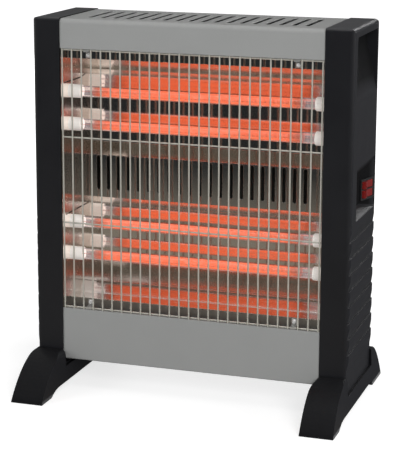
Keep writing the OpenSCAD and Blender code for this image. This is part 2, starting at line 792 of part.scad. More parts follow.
// Side view of a foot: long toe and shorter heel on pads, low arch between them
module foot_profile() polygon(concat(
    [[toe_y, 0]],
    bow([toe_y, foot_edge], [toe_swell_y, foot_swell], [toe_slope_end, foot_h], 12),
    bow([heel_slope_end, foot_h], [heel_swell_y, foot_swell], [heel_y, foot_edge], 10),
    [[heel_y, 0], [heel_pad_y, 0], [heel_pad_y - heel_ramp / 2, arch_h - 1],
        [heel_pad_y - heel_ramp, arch_h]],
    bow([toe_y + pad_l + pad_ramp, arch_h], [toe_y + pad_l + pad_bend, arch_h],
        [toe_y + pad_l, 0], 5)));

// Front view of a foot: flared outwards at the floor, with rounded upper corners
module foot_section() polygon(concat(
    [[foot_in, 0], [foot_out, 0]],
    arc([foot_top_x - foot_top_r / 2, foot_h - foot_top_r / 2], foot_top_r / 2, 0, 90, 4),
    arc([foot_in + foot_top_r, foot_h - foot_top_r], foot_top_r, 90, 180, 6)));

// A foot with a seat for the side panel and a ribbed hollow underneath
module foot() color([0.12, 0.12, 0.13]) in_place() difference() {
    intersection() {
        along_x(foot_in, foot_out) foot_profile();
        along_y(toe_y, heel_y) foot_section();
    }
    box([foot_in - 1, side_front, side_low], [foot_out + 1, side_back, foot_h + 1]);
    difference() {
        box([foot_in + side_wall, toe_y + pad_l + pad_ramp, -1],
            [cavity_x, heel_pad_y - heel_ramp - side_wall, foot_pocket_z]);
        for (k = [1 : foot_ribs]) let (y = body_d * (k - 0.5) / foot_ribs)
            box([foot_in, y - foot_rib_t / 2, 0], [side_x, y + foot_rib_t / 2, foot_pocket_z]);
    }
    for (y = foot_screw_y) translate([foot_screw_x, y, foot_pocket_z - 1])
        cylinder(h = foot_seat_t + 2, d = screw_d + 2 * fit);
}
module left_foot() on_side(-1) foot();
module right_foot() on_side(1) foot();

// Screws from inside each foot's hollow up into the side panel's bosses
module foot_screws() color([0.6, 0.6, 0.6]) in_place()
    for (s = [-1, 1], y = foot_screw_y) translate([s * foot_screw_x, y, foot_pocket_z])
        rotate([180, 0, 0]) pan_screw(foot_head_d, screw_head_h, screw_d, boss_h);

// ---------------------------------------------------------------- switch

// Bezel and body of the double rocker switch, with a pocket for each rocker
module switch_housing() color([0.05, 0.05, 0.05]) in_place() at_switch() difference() {
    union() {
        box([0, -bezel_l / 2, -bezel_h / 2], [bezel_t, bezel_l / 2, bezel_h / 2]);
        box([-switch_depth, -switch_body_l / 2, -switch_body_h / 2],
            [eps, switch_body_l / 2, switch_body_h / 2]);
    }
    for (s = [-1, 1])
        box([-pocket_depth, -rocker_r - 1.5 * rocker_gap, s * rocker_z - rocker_h / 2 - rocker_gap],
            [bezel_t + 1, rocker_r + 1.5 * rocker_gap, s * rocker_z + rocker_h / 2 + rocker_gap]);
    translate([-pivot_in, 0, -rocker_z - rocker_h / 2 - rocker_gap - rocker_pin_l])
        cylinder(h = 2 * (rocker_z + rocker_h / 2 + rocker_gap + rocker_pin_l),
            d = rocker_pin_d + 2 * pin_fit);
}

// One rocker on its pins, switched on: its rear end is pressed in
module rocker(s) color([0.6, 0.1, 0.08]) in_place() at_switch()
    translate([-pivot_in, 0, s * rocker_z]) rotate([0, 0, rocker_tilt]) {
        translate([0, 0, -rocker_h / 2]) linear_extrude(rocker_h) intersection() {
            circle(rocker_r);
            polygon([
                [-rocker_keel, -rocker_keel_l], [-rocker_keel, rocker_keel_l], [0, rocker_r],
                [pivot_depth + rocker_rise, rocker_r],
                [pivot_depth, 0],
                [pivot_depth + rocker_rise, -rocker_r],
                [0, -rocker_r]]);
        }
        translate([0, 0, -rocker_h / 2 - rocker_gap - rocker_pin_l + pin_fit])
            cylinder(h = rocker_h + 2 * (rocker_gap + rocker_pin_l - pin_fit), d = rocker_pin_d);
    }
module upper_rocker() rocker(1);
module lower_rocker() rocker(-1);

// Push-on blades behind the switch, two for each rocker
module switch_blades() color([0.8, 0.7, 0.4]) in_place() at_switch()
    for (s = [-1, 1], y = [-blade_side, blade_side])
        box([-blade_tip, y - blade_t / 2, s * rocker_z - blade_w / 2],
            [-switch_depth, y + blade_t / 2, s * rocker_z + blade_w / 2]);

// ---------------------------------------------------------------- wiring

// Three-way connector on the right end plate, with a well for each screw
module block_wells(l, d) for (i = [-1, 0, 1])
    translate([inner_x + block_t - well_depth, block_y + block_l / 2 + i * well_pitch, block_z + block_h / 2])
        rod_x(0, l, d);
module terminal_block() color([0.9, 0.9, 0.86]) in_place() difference() {
    box([inner_x, block_y, block_z], [inner_x + block_t, block_y + block_l, block_z + block_h]);
    block_wells(well_depth + 1, well_d);
}
module terminal_screws() color([0.8, 0.7, 0.4]) in_place() block_wells(well_screw_l, well_screw_d);

// Round bimetal cut-out with its two tabs, on the right end plate between the pairs
module thermal_cutout() color([0.15, 0.15, 0.15]) in_place() translate([0, tube_back, opening_mid]) {
    can_x = inner_x + cutout_base_h;
    tab_x = can_x + cutout_can_h;
    rod_x(inner_x, can_x, cutout_base_d);
    rod_x(can_x - eps, tab_x, cutout_can_d);
    for (s = [-1, 1]) box([tab_x - eps, s * tab_side - tab_t / 2, -tab_w / 2],
        [tab_x + tab_l, s * tab_side + tab_t / 2, tab_w / 2]);
}

// Sleeved wires: link strips to the switch, and the terminal block to the switch
module feed_wires() color([0.85, 0.85, 0.8]) in_place() {
    strip_face = neck_x + strip_t + wire_sleeve_d / 2;
    pair_z = [(tube_z[0] + tube_z[1]) / 2, (tube_z[2] + tube_z[3]) / 2];
    wire_run([[strip_face, tube_back - wire_start, pair_z[0]], [strip_face, cross_y, pair_z[0]],
        [sleeve_x, cross_y, pair_z[0]], [sleeve_x, cross_y, recess_z + rocker_z],
        [sleeve_x, blade_y, recess_z + rocker_z]], wire_sleeve_d);
    wire_run([[strip_face, tube_back - wire_start, pair_z[1]], [strip_face, cross_y, pair_z[1]],
        [sleeve_x, cross_y, pair_z[1]], [sleeve_x, cross_y, recess_z],
        [sleeve_x, blade_y, recess_z]], wire_sleeve_d);
    wire_run([[sleeve_x, blade_y, block_z + block_h], [sleeve_x, blade_y, recess_z - rocker_z]],
        wire_sleeve_d);
}

// Sleeved wire from the left link strip, across the base, to the terminal block
module cross_wire() color([0.85, 0.85, 0.8]) in_place() {
    left_face = -neck_x - strip_t - wire_sleeve_d / 2;
    wire_run([[left_face, tube_back - wire_start, tube_mid], [left_face, cross_y, tube_mid],
        [left_face, cross_y, cross_z], [wire_near, cross_y, cross_z],
        [wire_near, cross_y, block_z + block_h / 2], [wire_near, block_y, block_z + block_h / 2]],
        wire_sleeve_d);
}

// Rubber bush where the supply lead enters the right side panel
module cord_grommet() color([0.1, 0.1, 0.1]) in_place() translate([inlet_x, side_back, inlet_z])
    rotate([-90, 0, 0]) rotate_extrude() polygon([
        [inlet_bore / 2, -side_wall - inlet_lip],
        [inlet_flange / 2 - 1, -side_wall - inlet_lip],
        [inlet_flange / 2 - 1, -side_wall],
        [inlet_neck / 2, -side_wall],
        [inlet_neck / 2, 0],
        [inlet_flange / 2, 0],
        [inlet_flange / 2 - 1, inlet_lip],
        [inlet_bore / 2, inlet_lip]]);

// ---------------------------------------------------------------- drawn pieces

top_shell();
lower_panel();
base_plate();
back_panel();
left_end_plate();
right_end_plate();
left_side_panel();
right_side_panel();
left_foot();
right_foot();
wire_guard();
guard_clips();
guard_screws();
main_reflector();
lower_reflector();
quartz_tube_1();
quartz_tube_2();
quartz_tube_3();
quartz_tube_4();
heating_coil_1();
heating_coil_2();
heating_coil_3();
heating_coil_4();
left_cap_1();
left_cap_2();
left_cap_3();
left_cap_4();
right_cap_1();
right_cap_2();
right_cap_3();
right_cap_4();
left_link_strip();
right_link_strips();
left_stud_nuts();
right_stud_nuts();
switch_housing();
switch_blades();
upper_rocker();
lower_rocker();
terminal_block();
terminal_screws();
thermal_cutout();
feed_wires();
cross_wire();
cord_grommet();
back_screws();
foot_screws();
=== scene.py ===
"""Finishes, fine pieces and studio for a free-standing quartz heater.

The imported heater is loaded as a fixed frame, in metres: the front faces -Y, +X is to
the viewer's right and the floor is at Z = 0. Each operator below dresses one group of
its pieces, and the last one builds the studio around it.
"""
import json
from math import cos, pi, radians, sin

import bmesh
import bpy
import numpy as np
from mathutils import Matrix, Vector


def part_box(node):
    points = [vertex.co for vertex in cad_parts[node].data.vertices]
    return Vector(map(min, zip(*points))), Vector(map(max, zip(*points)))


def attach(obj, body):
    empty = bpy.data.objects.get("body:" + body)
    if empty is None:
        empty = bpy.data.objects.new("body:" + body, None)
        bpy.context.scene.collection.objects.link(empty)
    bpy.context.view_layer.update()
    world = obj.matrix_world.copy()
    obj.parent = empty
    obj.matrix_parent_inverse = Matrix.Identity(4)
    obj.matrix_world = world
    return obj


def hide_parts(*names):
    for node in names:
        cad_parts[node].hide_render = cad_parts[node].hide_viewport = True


bl_info = {
    "name": "Quartz heater",
    "version": (1, 0, 0),
    "blender": (4, 5, 0),
    "location": "View3D > Sidebar > Quartz heater",
    "description": "Dresses a four-tube quartz heater and builds a studio around it",
    "category": "Object",
}

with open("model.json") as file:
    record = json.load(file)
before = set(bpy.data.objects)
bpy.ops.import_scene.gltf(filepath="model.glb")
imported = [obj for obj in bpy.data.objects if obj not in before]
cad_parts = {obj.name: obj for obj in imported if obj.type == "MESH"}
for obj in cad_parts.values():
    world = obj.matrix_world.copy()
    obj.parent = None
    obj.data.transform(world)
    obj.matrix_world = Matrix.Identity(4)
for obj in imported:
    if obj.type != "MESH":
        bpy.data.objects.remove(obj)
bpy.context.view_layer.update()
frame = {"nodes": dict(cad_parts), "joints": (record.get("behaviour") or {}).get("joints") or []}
NODES = frame["nodes"]
TUBES = [1, 2, 3, 4]
MM = 0.001
TAU = 2 * pi

# Guard: distance between its upright wires, their thickness, how many level rows cross
# them, and how far the outermost rows' middles lie inside its ends
GUARD_PITCH = 12.5 * MM
GUARD_WIRE = 2 * MM
GUARD_ROWS = 4
GUARD_ROW_INSET = 1.3 * MM

# Turn of the switch's wall towards the front, and tilt of a rocker from its middle
WALL_TURN = radians(16.557)
ROCKER_TILT = radians(11)

# Screws: node, way out, head's diameter, step between its rows, shank's length
HEAD_HEIGHT = 2 * MM
SCREWS = (
    ("guard_screws", (0, -1, 0), 5.4 * MM, 0.0, 6.3 * MM),
    ("back_screws", (0, 1, 0), 5.4 * MM, 0.8 * MM, 6.5 * MM),
    ("foot_screws", (0, 0, -1), 6.4 * MM, 0.0, 11.9 * MM),
)

# Lamps: place, what they face, width, watts, and whether glossy surfaces show them
LAMPS = {
    "key_lamp": ((1.7, -2.5, 1.5), (0, 0, 0.25), 1.2, 70, False),
    "fill_lamp": ((-2.2, -2.3, 1.0), (0, 0, 0.25), 1.6, 42, False),
    "side_lamp": ((2.6, 0.2, 0.9), (0.2, 0, 0.25), 1.0, 38, False),
    "back_lamp": ((-1.6, 2.8, 0.9), (0, 0, 0.25), 1.4, 40, False),
    "top_lamp": ((0.2, -0.6, 2.4), (0, 0, 0.2), 0.8, 5, True),
    "rim_lamp": ((0.5, 2.2, 1.25), (0.2, 0, 0.45), 0.35, 4, True),
}

# Colours of wear, dust, hidden finishes, painted shade, painted glow, and the painted light of the
# studio's dark cloth
RUBBED_ENAMEL = (0.42, 0.42, 0.41, 1.0)
RUBBED_PLASTIC = (0.035, 0.035, 0.037, 1.0)
RUBBED_SHEET = (0.90, 0.88, 0.85, 1.0)
DUST_ON_GREY = (0.40, 0.39, 0.36, 1.0)
DUST_ON_BLACK = (0.16, 0.155, 0.145, 1.0)
# Painted shade on the inner faces of the back panel
INSIDE_PAINTED_SHADE = (0.030, 0.030, 0.027, 1.0)
ZINC = ((0.46, 0.47, 0.48, 1.0), (0.60, 0.61, 0.62, 1.0))
COLD_WIRE = ((0.20, 0.19, 0.18, 1.0), (0.32, 0.30, 0.28, 1.0))
SLEEVE = ((0.45, 0.43, 0.38, 1.0), (0.74, 0.72, 0.66, 1.0))
CLEAR_QUARTZ = (0.985, 0.975, 0.965, 1.0)
QUARTZ_PAINTED_END_GLOW = (0.060, 0.048, 0.050, 1.0)
CERAMIC_PAINTED_GLOW = (1.0, 0.90, 0.84)
FAR_CLOTH_PAINTED_LIGHT = (0.022, 0.024, 0.025, 1.0)
NEAR_CLOTH_PAINTED_LIGHT = (0.25, 0.225, 0.185, 1.0)
BACK_CLOTH_PAINTED_LIGHT = (0.10, 0.10, 0.105, 1.0)
UNLIT = (0.0, 0.0, 0.0, 1.0)
WHITE = (1.0, 1.0, 1.0, 1.0)


# -------------------- settings

def colour_setting(name, description, default):
    """A property that holds a colour."""
    return bpy.props.FloatVectorProperty(
        name=name, description=description, subtype="COLOR", default=default, min=0, max=1)


def length_setting(name, description, default, low, high):
    """A property that holds a length. Its three numbers are given in millimetres."""
    return bpy.props.FloatProperty(
        name=name, description=description, unit="LENGTH",
        default=default * MM, min=low * MM, max=high * MM)


class HeaterFinishes(bpy.types.PropertyGroup):
    """Colours of the heater's materials"""
    enamel: colour_setting(
        "Enamel", "Grey enamel of the sheet-metal body", (0.262, 0.266, 0.262))
    moulding: colour_setting(
        "Moulding", "Black of the side panels and feet", (0.0078, 0.0080, 0.0094))
    wire: colour_setting(
        "Guard wire", "Plating of the guard's wires", (0.54, 0.53, 0.47))
    sheet: colour_setting(
        "Bright sheet", "Aluminised sheet of the reflector and end plates", (0.82, 0.79, 0.76))
    tint: colour_setting(
        "Heat tint", "Straw colour that heat leaves on bright sheet", (0.50, 0.33, 0.20))
    glow: colour_setting(
        "Glow", "Light of the hot coils", (0.90, 0.142, 0.055))
    ceramic: colour_setting(
        "Ceramic", "Unglazed caps at the ends of the tubes", (0.88, 0.86, 0.82))
    rocker: colour_setting(
        "Rocker", "Translucent red of the rockers", (0.115, 0.005, 0.004))


class HeaterDetails(bpy.types.PropertyGroup):
    """Sizes of the fine pieces"""
    coil_pitch: length_setting(
        "Coil pitch", "Distance between the heating coil's turns", 1.6, 1.0, 4)
    coil_wire: length_setting(
        "Coil wire", "Diameter of the heating coil's wire", 0.9, 0.4, 1.5)
    coil_od: length_setting(
        "Coil diameter", "Outside diameter of the heating coil", 11.0, 6, 11.8)
    cold_end: length_setting(
        "Cold end", "From an end plate to the start of the coil", 30, 20, 50)
    weld_d: length_setting(
        "Weld spot", "Diameter of the weld at each crossing of the guard", 2.3, 1, 3)


class HeaterStudio(bpy.types.PropertyGroup):
    """Camera, lamps and floor"""
    place: bpy.props.FloatVectorProperty(
        name="Camera place", description="Where the camera stands",
        subtype="TRANSLATION", default=(0.6150, -1.8689, 0.6723))
    yaw: bpy.props.FloatProperty(
        name="Yaw", description="How far the camera has gone round to the heater's right",
        subtype="ANGLE", default=radians(18.14))
    pitch: bpy.props.FloatProperty(
        name="Pitch", description="How far the camera looks down",
        subtype="ANGLE", default=radians(11.99))
    roll: bpy.props.FloatProperty(
        name="Roll", description="How far the camera is tipped sideways",
        subtype="ANGLE", default=radians(-0.26))
    lens: bpy.props.FloatProperty(
        name="Lens", description="Focal length for a 36 mm film on the long side",
        unit="CAMERA", default=131.0, min=20, max=300)
    drop: bpy.props.FloatProperty(
        name="Film drop", description="How far the film is moved to keep upright edges parallel",
        default=-0.078, min=-1, max=1)
    floor: bpy.props.FloatProperty(
        name="Floor", description="Width of the pale floor",
        unit="LENGTH", default=40, min=4, max=100)
    room: bpy.props.FloatProperty(
        name="Room light", description="Brightness of the studio behind and above the heater",
        default=0.30, min=0, max=2)
    dark_side: bpy.props.FloatProperty(
        name="Dark side", description="Brightness of the unlit studio in front of the heater",
        default=0.10, min=0, max=2)


# -------------------- meshes

def grid_quads(rows, cols, wrap_cols=False):
    """Corner numbers of the cells of a rows by cols grid, with its columns closed if asked."""
    i = np.arange(rows - 1)[:, None]
    j = np.arange(cols if wrap_cols else cols - 1)[None, :]
    i1, j1 = i + 1, (j + 1) % cols
    cells = [i * cols + j, i1 * cols + j, i1 * cols + j1, i * cols + j1]
    return np.stack(np.broadcast_arrays(*cells), -1).reshape(-1, 4)


def joined(parts):
    """One list of points and one of faces from several (points, faces) surfaces."""
    points, faces, start = [], [], 0
    for some_points, some_faces in parts:
        points.append(some_points)
        faces.append(some_faces + start)
        start += len(some_points)
    return np.concatenate(points), np.concatenate(faces)


def make_piece(name, surface, material, replaced=(), body="root"):
    """Puts a surface into the scene as a piece that rides on a body and has a finish.
    Edges sharper than 35 degrees stay sharp."""
    points, faces = surface
    mesh = bpy.data.meshes.new(name)
    mesh.from_pydata(points.tolist(), [], faces.tolist())
    work = bmesh.new()
    work.from_mesh(mesh)
    bmesh.ops.remove_doubles(work, verts=work.verts, dist=1e-6)
    bmesh.ops.recalc_face_normals(work, faces=work.faces)
    work.to_mesh(mesh)
    work.free()
    mesh.polygons.foreach_set("use_smooth", [True] * len(mesh.polygons))
    mesh.set_sharp_from_angle(angle=radians(35))
    piece = bpy.data.objects.new(name, mesh)
    bpy.context.scene.collection.objects.link(piece)
    mesh.materials.append(material)
    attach(piece, body)
    if replaced:
        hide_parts(*replaced)
    return piece


def revolve(profile, centre, axis, sides, e1=None):
    """Surface of revolution: profile point (s, r) goes to
    centre + s * axis + r * (cos a * e1 + sin a * e2), for a all the way round. Where
    it isn't given, e1 is the level way across the axis."""
    axis = np.asarray(axis, float)
    if e1 is None:
        e1 = np.cross(axis, [0, 0, 1] if abs(axis[2]) < 0.9 else [1, 0, 0])
        e1 /= np.linalg.norm(e1)
    e2 = np.cross(axis, e1)
    profile = np.asarray(profile, float)
    a = np.arange(sides) * TAU / sides
    ring = np.cos(a)[:, None] * e1 + np.sin(a)[:, None] * e2
    points = centre + profile[:, :1, None] * axis + profile[:, 1:, None] * ring
    return points.reshape(-1, 3), grid_quads(len(profile), sides, wrap_cols=True)


def wire_along(centres, tangents, normals, radius, sides):
    """Round wire: each centre gets a ring radius * (cos a * n + sin a * t x n)."""
    binormals = np.cross(tangents, normals)
    a = (np.arange(sides) * TAU / sides)[None, :, None]
    ring = np.cos(a) * normals[:, None] + np.sin(a) * binormals[:, None]
    points = centres[:, None] + radius * ring
    return points.reshape(-1, 3), grid_quads(len(centres), sides, wrap_cols=True)


def smooth_step(t):
    """0 below 0, 1 above 1 and 3t^2 - 2t^3 between."""
    t = np.clip(t, 0, 1)
    return t * t * (3 - 2 * t)


# -------------------- material tools

def node(tree, kind, settings=None, inputs=None):
    """Adds a node, sets its options, and gives its inputs constants or links."""
    made = tree.nodes.new(kind)
    for key, value in (settings or {}).items():
        setattr(made, key, value)
    for key, value in (inputs or {}).items():
        if isinstance(value, bpy.types.NodeSocket):
            tree.links.new(value, made.inputs[key])
        else:
            made.inputs[key].default_value = value
    return made


def maths(tree, operation, a, b=0.0):
    """A Math node's output."""
    return node(tree, "ShaderNodeMath", {"operation": operation}, {0: a, 1: b}).outputs[0]


def times(tree, a, b):
    """The product of two values."""
    return maths(tree, "MULTIPLY", a, b)


def remap(tree, value, from_low, from_high, to_low, to_high):
    """A clamped Map Range node's output."""
    return node(tree, "ShaderNodeMapRange", None, {
        "Value": value, "From Min": from_low, "From Max": from_high,
        "To Min": to_low, "To Max": to_high}).outputs["Result"]


def noise(tree, place, scale, detail, rough=0.5):
    """A Noise Texture's value."""
    return node(tree, "ShaderNodeTexNoise", None, {
        "Vector": place, "Scale": scale, "Detail": detail, "Roughness": rough}).outputs["Fac"]


def stretched(tree, value, low, high):
    """A noise's usual span, 0.3 to 0.7, stretched to run from low to high."""
    return remap(tree, value, 0.3, 0.7, low, high)


def object_place(tree):
    """A point's place on its own piece."""
    return node(tree, "ShaderNodeTexCoord").outputs["Object"]


def component(tree, vector, axis):
    """The X, Y or Z of a vector."""
    return node(tree, "ShaderNodeSeparateXYZ", None, {0: vector}).outputs[axis]


def looks_along(tree, axis):
    """How far the surface looks along X, Y or Z: 1 if straight along it, -1 if against it."""
    return component(tree, node(tree, "ShaderNodeNewGeometry").outputs["Normal"], axis)


def away_from_middle(tree):
    """Distance from the middle of the heater, to the left or right."""
    return maths(tree, "ABSOLUTE", component(tree, object_place(tree), "X"))


def blend_colours(tree, mask, a, b):
    """A Mix node's colour output: a where the mask is 0 and b where it is 1. Sockets 6 and 7
    are the node's two colours, and 2 is their mix."""
    made = tree.nodes.new("ShaderNodeMix")
    made.data_type = "RGBA"
    for place, value in ((0, mask), (6, a), (7, b)):
        if isinstance(value, bpy.types.NodeSocket):
            tree.links.new(value, made.inputs[place])
        else:
            made.inputs[place].default_value = value
    return made.outputs[2]


def group_tree(name, inputs, outputs):
    """A new shader node group and its two end nodes. inputs has each number's default,
    lowest and highest value, and outputs has each result's kind."""
    tree = bpy.data.node_groups.new(name, "ShaderNodeTree")
    for key, (default, low, high) in inputs.items():
        made = tree.interface.new_socket(name=key, in_out="INPUT", socket_type="NodeSocketFloat")
        made.default_value, made.min_value, made.max_value = default, low, high
    for key, kind in outputs.items():
        tree.interface.new_socket(name=key, in_out="OUTPUT", socket_type="NodeSocket" + kind)
    return tree, tree.nodes.new("NodeGroupInput"), tree.nodes.new("NodeGroupOutput")


def use_group(tree, name, inputs):
    """The outputs of a placed node group, which is built on its first use."""
    group = bpy.data.node_groups.get(name) or GROUPS[name]()
    return node(tree, "ShaderNodeGroup", {"node_tree": group}, inputs).outputs


def shaded(colour, share):
    """The colour made darker, or above 1 lighter."""
    return tuple(c * share for c in colour)


def opaque(colour):
    """The colour with a full alpha."""
    return (*colour, 1.0)


# -------------------- shared effects

def build_grain():
    """Fine grain of a moulded or coated surface: noise at two scales over small pits."""
    tree, start, end = group_tree(
        "surface_grain", {"Size": (0.001, 0.00005, 1), "Pits": (0.3, 0, 1)},
        {"Height": "Float", "Clouds": "Float"})
    place = object_place(tree)
    scale = maths(tree, "DIVIDE", 1.0, start.outputs["Size"])
    pits = node(tree, "ShaderNodeTexVoronoi", {"feature": "SMOOTH_F1"},
                {"Vector": place, "Scale": times(tree, scale, 0.6)})
    deep = times(tree, pits.outputs["Distance"], start.outputs["Pits"])
    fine = noise(tree, place, scale, 3.0, 0.55)
    tree.links.new(maths(tree, "ADD", fine, deep), end.inputs["Height"])
    tree.links.new(noise(tree, place, 14.0, 4.0, 0.6), end.inputs["Clouds"])
    return tree


def build_edges():
    """Mask of worn edges: where the normal rounded over Radius leaves the surface's own."""
    tree, start, end = group_tree(
        "worn_edges", {"Radius": (0.001, 0, 0.1), "Patchiness": (0.6, 0, 1)},
        {"Mask": "Float", "Rounded": "Vector"})
    rounded = node(tree, "ShaderNodeBevel", {"samples": 6}, {"Radius": start.outputs["Radius"]})
    own = node(tree, "ShaderNodeNewGeometry")
    agree = node(tree, "ShaderNodeVectorMath", {"operation": "DOT_PRODUCT"},
                 {0: rounded.outputs["Normal"], 1: own.outputs["Normal"]})
    edge = remap(tree, agree.outputs["Value"], 0.995, 0.80, 0.0, 1.0)
    worn = remap(tree, noise(tree, object_place(tree), 160.0, 3.0), 0.42, 0.62, 0.0, 1.0)
    kept = maths(tree, "SUBTRACT", 1.0, start.outputs["Patchiness"])
    share = maths(tree, "ADD", times(tree, worn, start.outputs["Patchiness"]), kept)
    tree.links.new(times(tree, edge, share), end.inputs["Mask"])
    tree.links.new(rounded.outputs["Normal"], end.inputs["Rounded"])
    return tree


def build_dust():
    """Mask of settled dust: the upward share of the normal, broken up by noise."""
    tree, start, end = group_tree("settled_dust", {"Amount": (0.2, 0, 1)}, {"Mask": "Float"})
    up = remap(tree, looks_along(tree, "Z"), 0.2, 1.0, 0.0, 1.0)
    clumps = noise(tree, object_place(tree), 420.0, 5.0, 0.7)
    specks = remap(tree, clumps, 0.38, 0.72, 0.15, 1.0)
    mask = times(tree, times(tree, up, specks), start.outputs["Amount"])
    tree.links.new(mask, end.inputs["Mask"])
    return tree


def build_rolling():
    """Rolling lines and slow waves of sheet metal, drawn out along X."""
    tree, start, end = group_tree(
        "rolled_sheet", {"Lines": (0.3, 0, 1), "Waves": (1.0, 0, 4)},
        {"Height": "Float", "Streaks": "Float"})
    place = object_place(tree)
    along = node(tree, "ShaderNodeMapping", None,
                 {"Vector": place, "Scale": (6.0, 900.0, 900.0)}).outputs["Vector"]
    streaks = noise(tree, along, 1.0, 3.0)
    lines = times(tree, streaks, start.outputs["Lines"])
    slow = times(tree, noise(tree, place, 22.0, 1.5), start.outputs["Waves"])
    tree.links.new(maths(tree, "ADD", lines, slow), end.inputs["Height"])
    tree.links.new(streaks, end.inputs["Streaks"])
    return tree


GROUPS = {
    "surface_grain": build_grain,
    "worn_edges": build_edges,
    "settled_dust": build_dust,
    "rolled_sheet": build_rolling,
}


# -------------------- materials

def new_material(name, constants):
    """A material and its node tree, with its Principled shader's constants set directly."""
    material = bpy.data.materials.new(name)
    material.use_nodes = True
    tree = material.node_tree
    for key, value in constants.items():
        tree.nodes["Principled BSDF"].inputs[key].default_value = value
    return material, tree


def driven(material, links):
    """The material, with outputs of its nodes linked to its shader's inputs."""
    tree = material.node_tree
    for key, output in links.items():
        tree.links.new(output, tree.nodes["Principled BSDF"].inputs[key])
    return material


def bumped(tree, height, strength, distance, normal=None):
    """A Bump node's normal."""
    inputs = {"Height": height, "Strength": strength, "Distance": distance}
    if normal is not None:
        inputs["Normal"] = normal
    return node(tree, "ShaderNodeBump", None, inputs).outputs["Normal"]


def enamel(finishes, name, shade_painted_inside):
    """Satin grey enamel on sheet metal: faint orange peel, mottling, dust and worn edges.
    When asked, the faces that look to the front get a flat dark grey instead: painted
    shade for the inside behind the reflector."""
    material, tree = new_material(name, {
        "Metallic": 0.0, "Specular IOR Level": 0.45, "Coat Weight": 0.25, "Coat Roughness": 0.22})
    grain = use_group(tree, "surface_grain", {"Size": 0.0022, "Pits": 0.2})
    edges = use_group(tree, "worn_edges", {"Radius": 0.0008, "Patchiness": 0.7})
    dust = use_group(tree, "settled_dust", {"Amount": 0.22})
    lighter = opaque(shaded(finishes.enamel, 1.06))
    darker = opaque(shaded(finishes.enamel, 0.95))
    mottled = blend_colours(tree, grain["Clouds"], darker, lighter)
    worn = blend_colours(tree, times(tree, edges["Mask"], 0.35), mottled, RUBBED_ENAMEL)
    dusty = blend_colours(tree, dust["Mask"], worn, DUST_ON_GREY)
    if shade_painted_inside:
        # Painted shade: the faces that look to the front, inside the back panel behind the
        # reflector, get a flat dark grey
        inside = remap(tree, looks_along(tree, "Y"), -0.7, -0.3, 1.0, 0.0)
        dusty = blend_colours(tree, inside, dusty, INSIDE_PAINTED_SHADE)
    return driven(material, {
        "Base Color": dusty,
        "Roughness": stretched(tree, grain["Clouds"], 0.42, 0.52),
        "Normal": bumped(tree, grain["Height"], 0.12, 0.0002, edges["Rounded"])})


def sideways_mask(tree):
    """1 on faces that look to the left or right, else 0."""
    return remap(tree, maths(tree, "ABSOLUTE", looks_along(tree, "X")), 0.5, 0.7, 0.0, 1.0)


def hollow_painted_shade_mask(tree, outside, lowest):
    """1 on the sideways faces of a side panel's grip and recess, which lie further in than
    the plane of its outside and above the height lowest, else 0. These faces get painted shade."""
    inside = remap(tree, away_from_middle(tree), outside - 5 * MM, outside - 1 * MM, 1.0, 0.0)
    height = component(tree, object_place(tree), "Z")
    above = remap(tree, height, lowest, lowest + 4 * MM, 0.0, 1.0)
    return times(tree, times(tree, inside, above), sideways_mask(tree))


def black_moulding(name, sheen, usual, masked, mask):
    """Black moulded plastic: spark-eroded grain, soft edges, light scuffs and dust. usual
    and masked are each a base colour, a coat weight and an added roughness, and masked
    holds on the faces where mask(tree) is 1."""
    material, tree = new_material(name, {
        "Metallic": 0.0, "Specular IOR Level": sheen, "Coat Roughness": 0.28})
    grain = use_group(tree, "surface_grain", {"Size": 0.0009, "Pits": 0.8})
    edges = use_group(tree, "worn_edges", {"Radius": 0.0012, "Patchiness": 0.8})
    dust = use_group(tree, "settled_dust", {"Amount": 0.03})
    where = mask(tree)
    clouded = []
    for colour, _, _ in (usual, masked):
        greyed = opaque([c * 1.5 + 0.002 for c in colour])
        clouded.append(blend_colours(tree, grain["Clouds"], opaque(colour), greyed))
    black = blend_colours(tree, where, *clouded)
    scuffed = blend_colours(tree, times(tree, edges["Mask"], 0.5), black, RUBBED_PLASTIC)
    rough = stretched(tree, grain["Clouds"], 0.42, 0.54)
    coat, added = (remap(tree, where, 0.0, 1.0, usual[k], masked[k]) for k in (1, 2))
    return driven(material, {
        "Base Color": blend_colours(tree, dust["Mask"], scuffed, DUST_ON_BLACK),
        "Coat Weight": coat,
        "Roughness": maths(tree, "ADD", rough, added),
        "Normal": bumped(tree, grain["Height"], 0.35, 0.00012, edges["Rounded"])})


def bright_sheet(finishes, name, rough, waves, tint_share, shade=1.0, dull_below=0.0):
    """Bright aluminised sheet: rolling lines, slow waves and a straw heat tint that is
    strongest at the height of the tubes. rough is the lowest and highest roughness along
    the lines. Below the height dull_below the sheet is left unpolished."""
    material, tree = new_material(name, {"Metallic": 1.0})
    rolled = use_group(tree, "rolled_sheet", {"Lines": 0.05, "Waves": waves})
    edges = use_group(tree, "worn_edges", {"Radius": 0.0005, "Patchiness": 0.5})
    height = component(tree, object_place(tree), "Z")
    heat = None
    for number in TUBES:
        low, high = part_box(f"quartz_tube_{number}")
        away = maths(tree, "ABSOLUTE", maths(tree, "SUBTRACT", height, (low.z + high.z) / 2))
        near = remap(tree, away, 0.004, 0.030, 1.0, 0.0)
        heat = near if heat is None else maths(tree, "MAXIMUM", heat, near)
    share = times(tree, heat, times(tree, rolled["Streaks"], tint_share))
    # A shade below 1 darkens the sheet's colour: painted shade
    tinted = blend_colours(tree, share, opaque(shaded(finishes.sheet, shade)),
                           opaque(shaded(finishes.tint, shade)))
    bright = blend_colours(tree, times(tree, edges["Mask"], 0.4), tinted, RUBBED_SHEET)
    polished = stretched(tree, rolled["Streaks"], *rough)
    raw = remap(tree, height, dull_below - 1 * MM, dull_below, 0.4, 0.0)
    return driven(material, {
        "Base Color": bright,
        "Roughness": maths(tree, "ADD", polished, raw),
        "Normal": bumped(tree, rolled["Height"], 0.10, 0.0006, edges["Rounded"])})


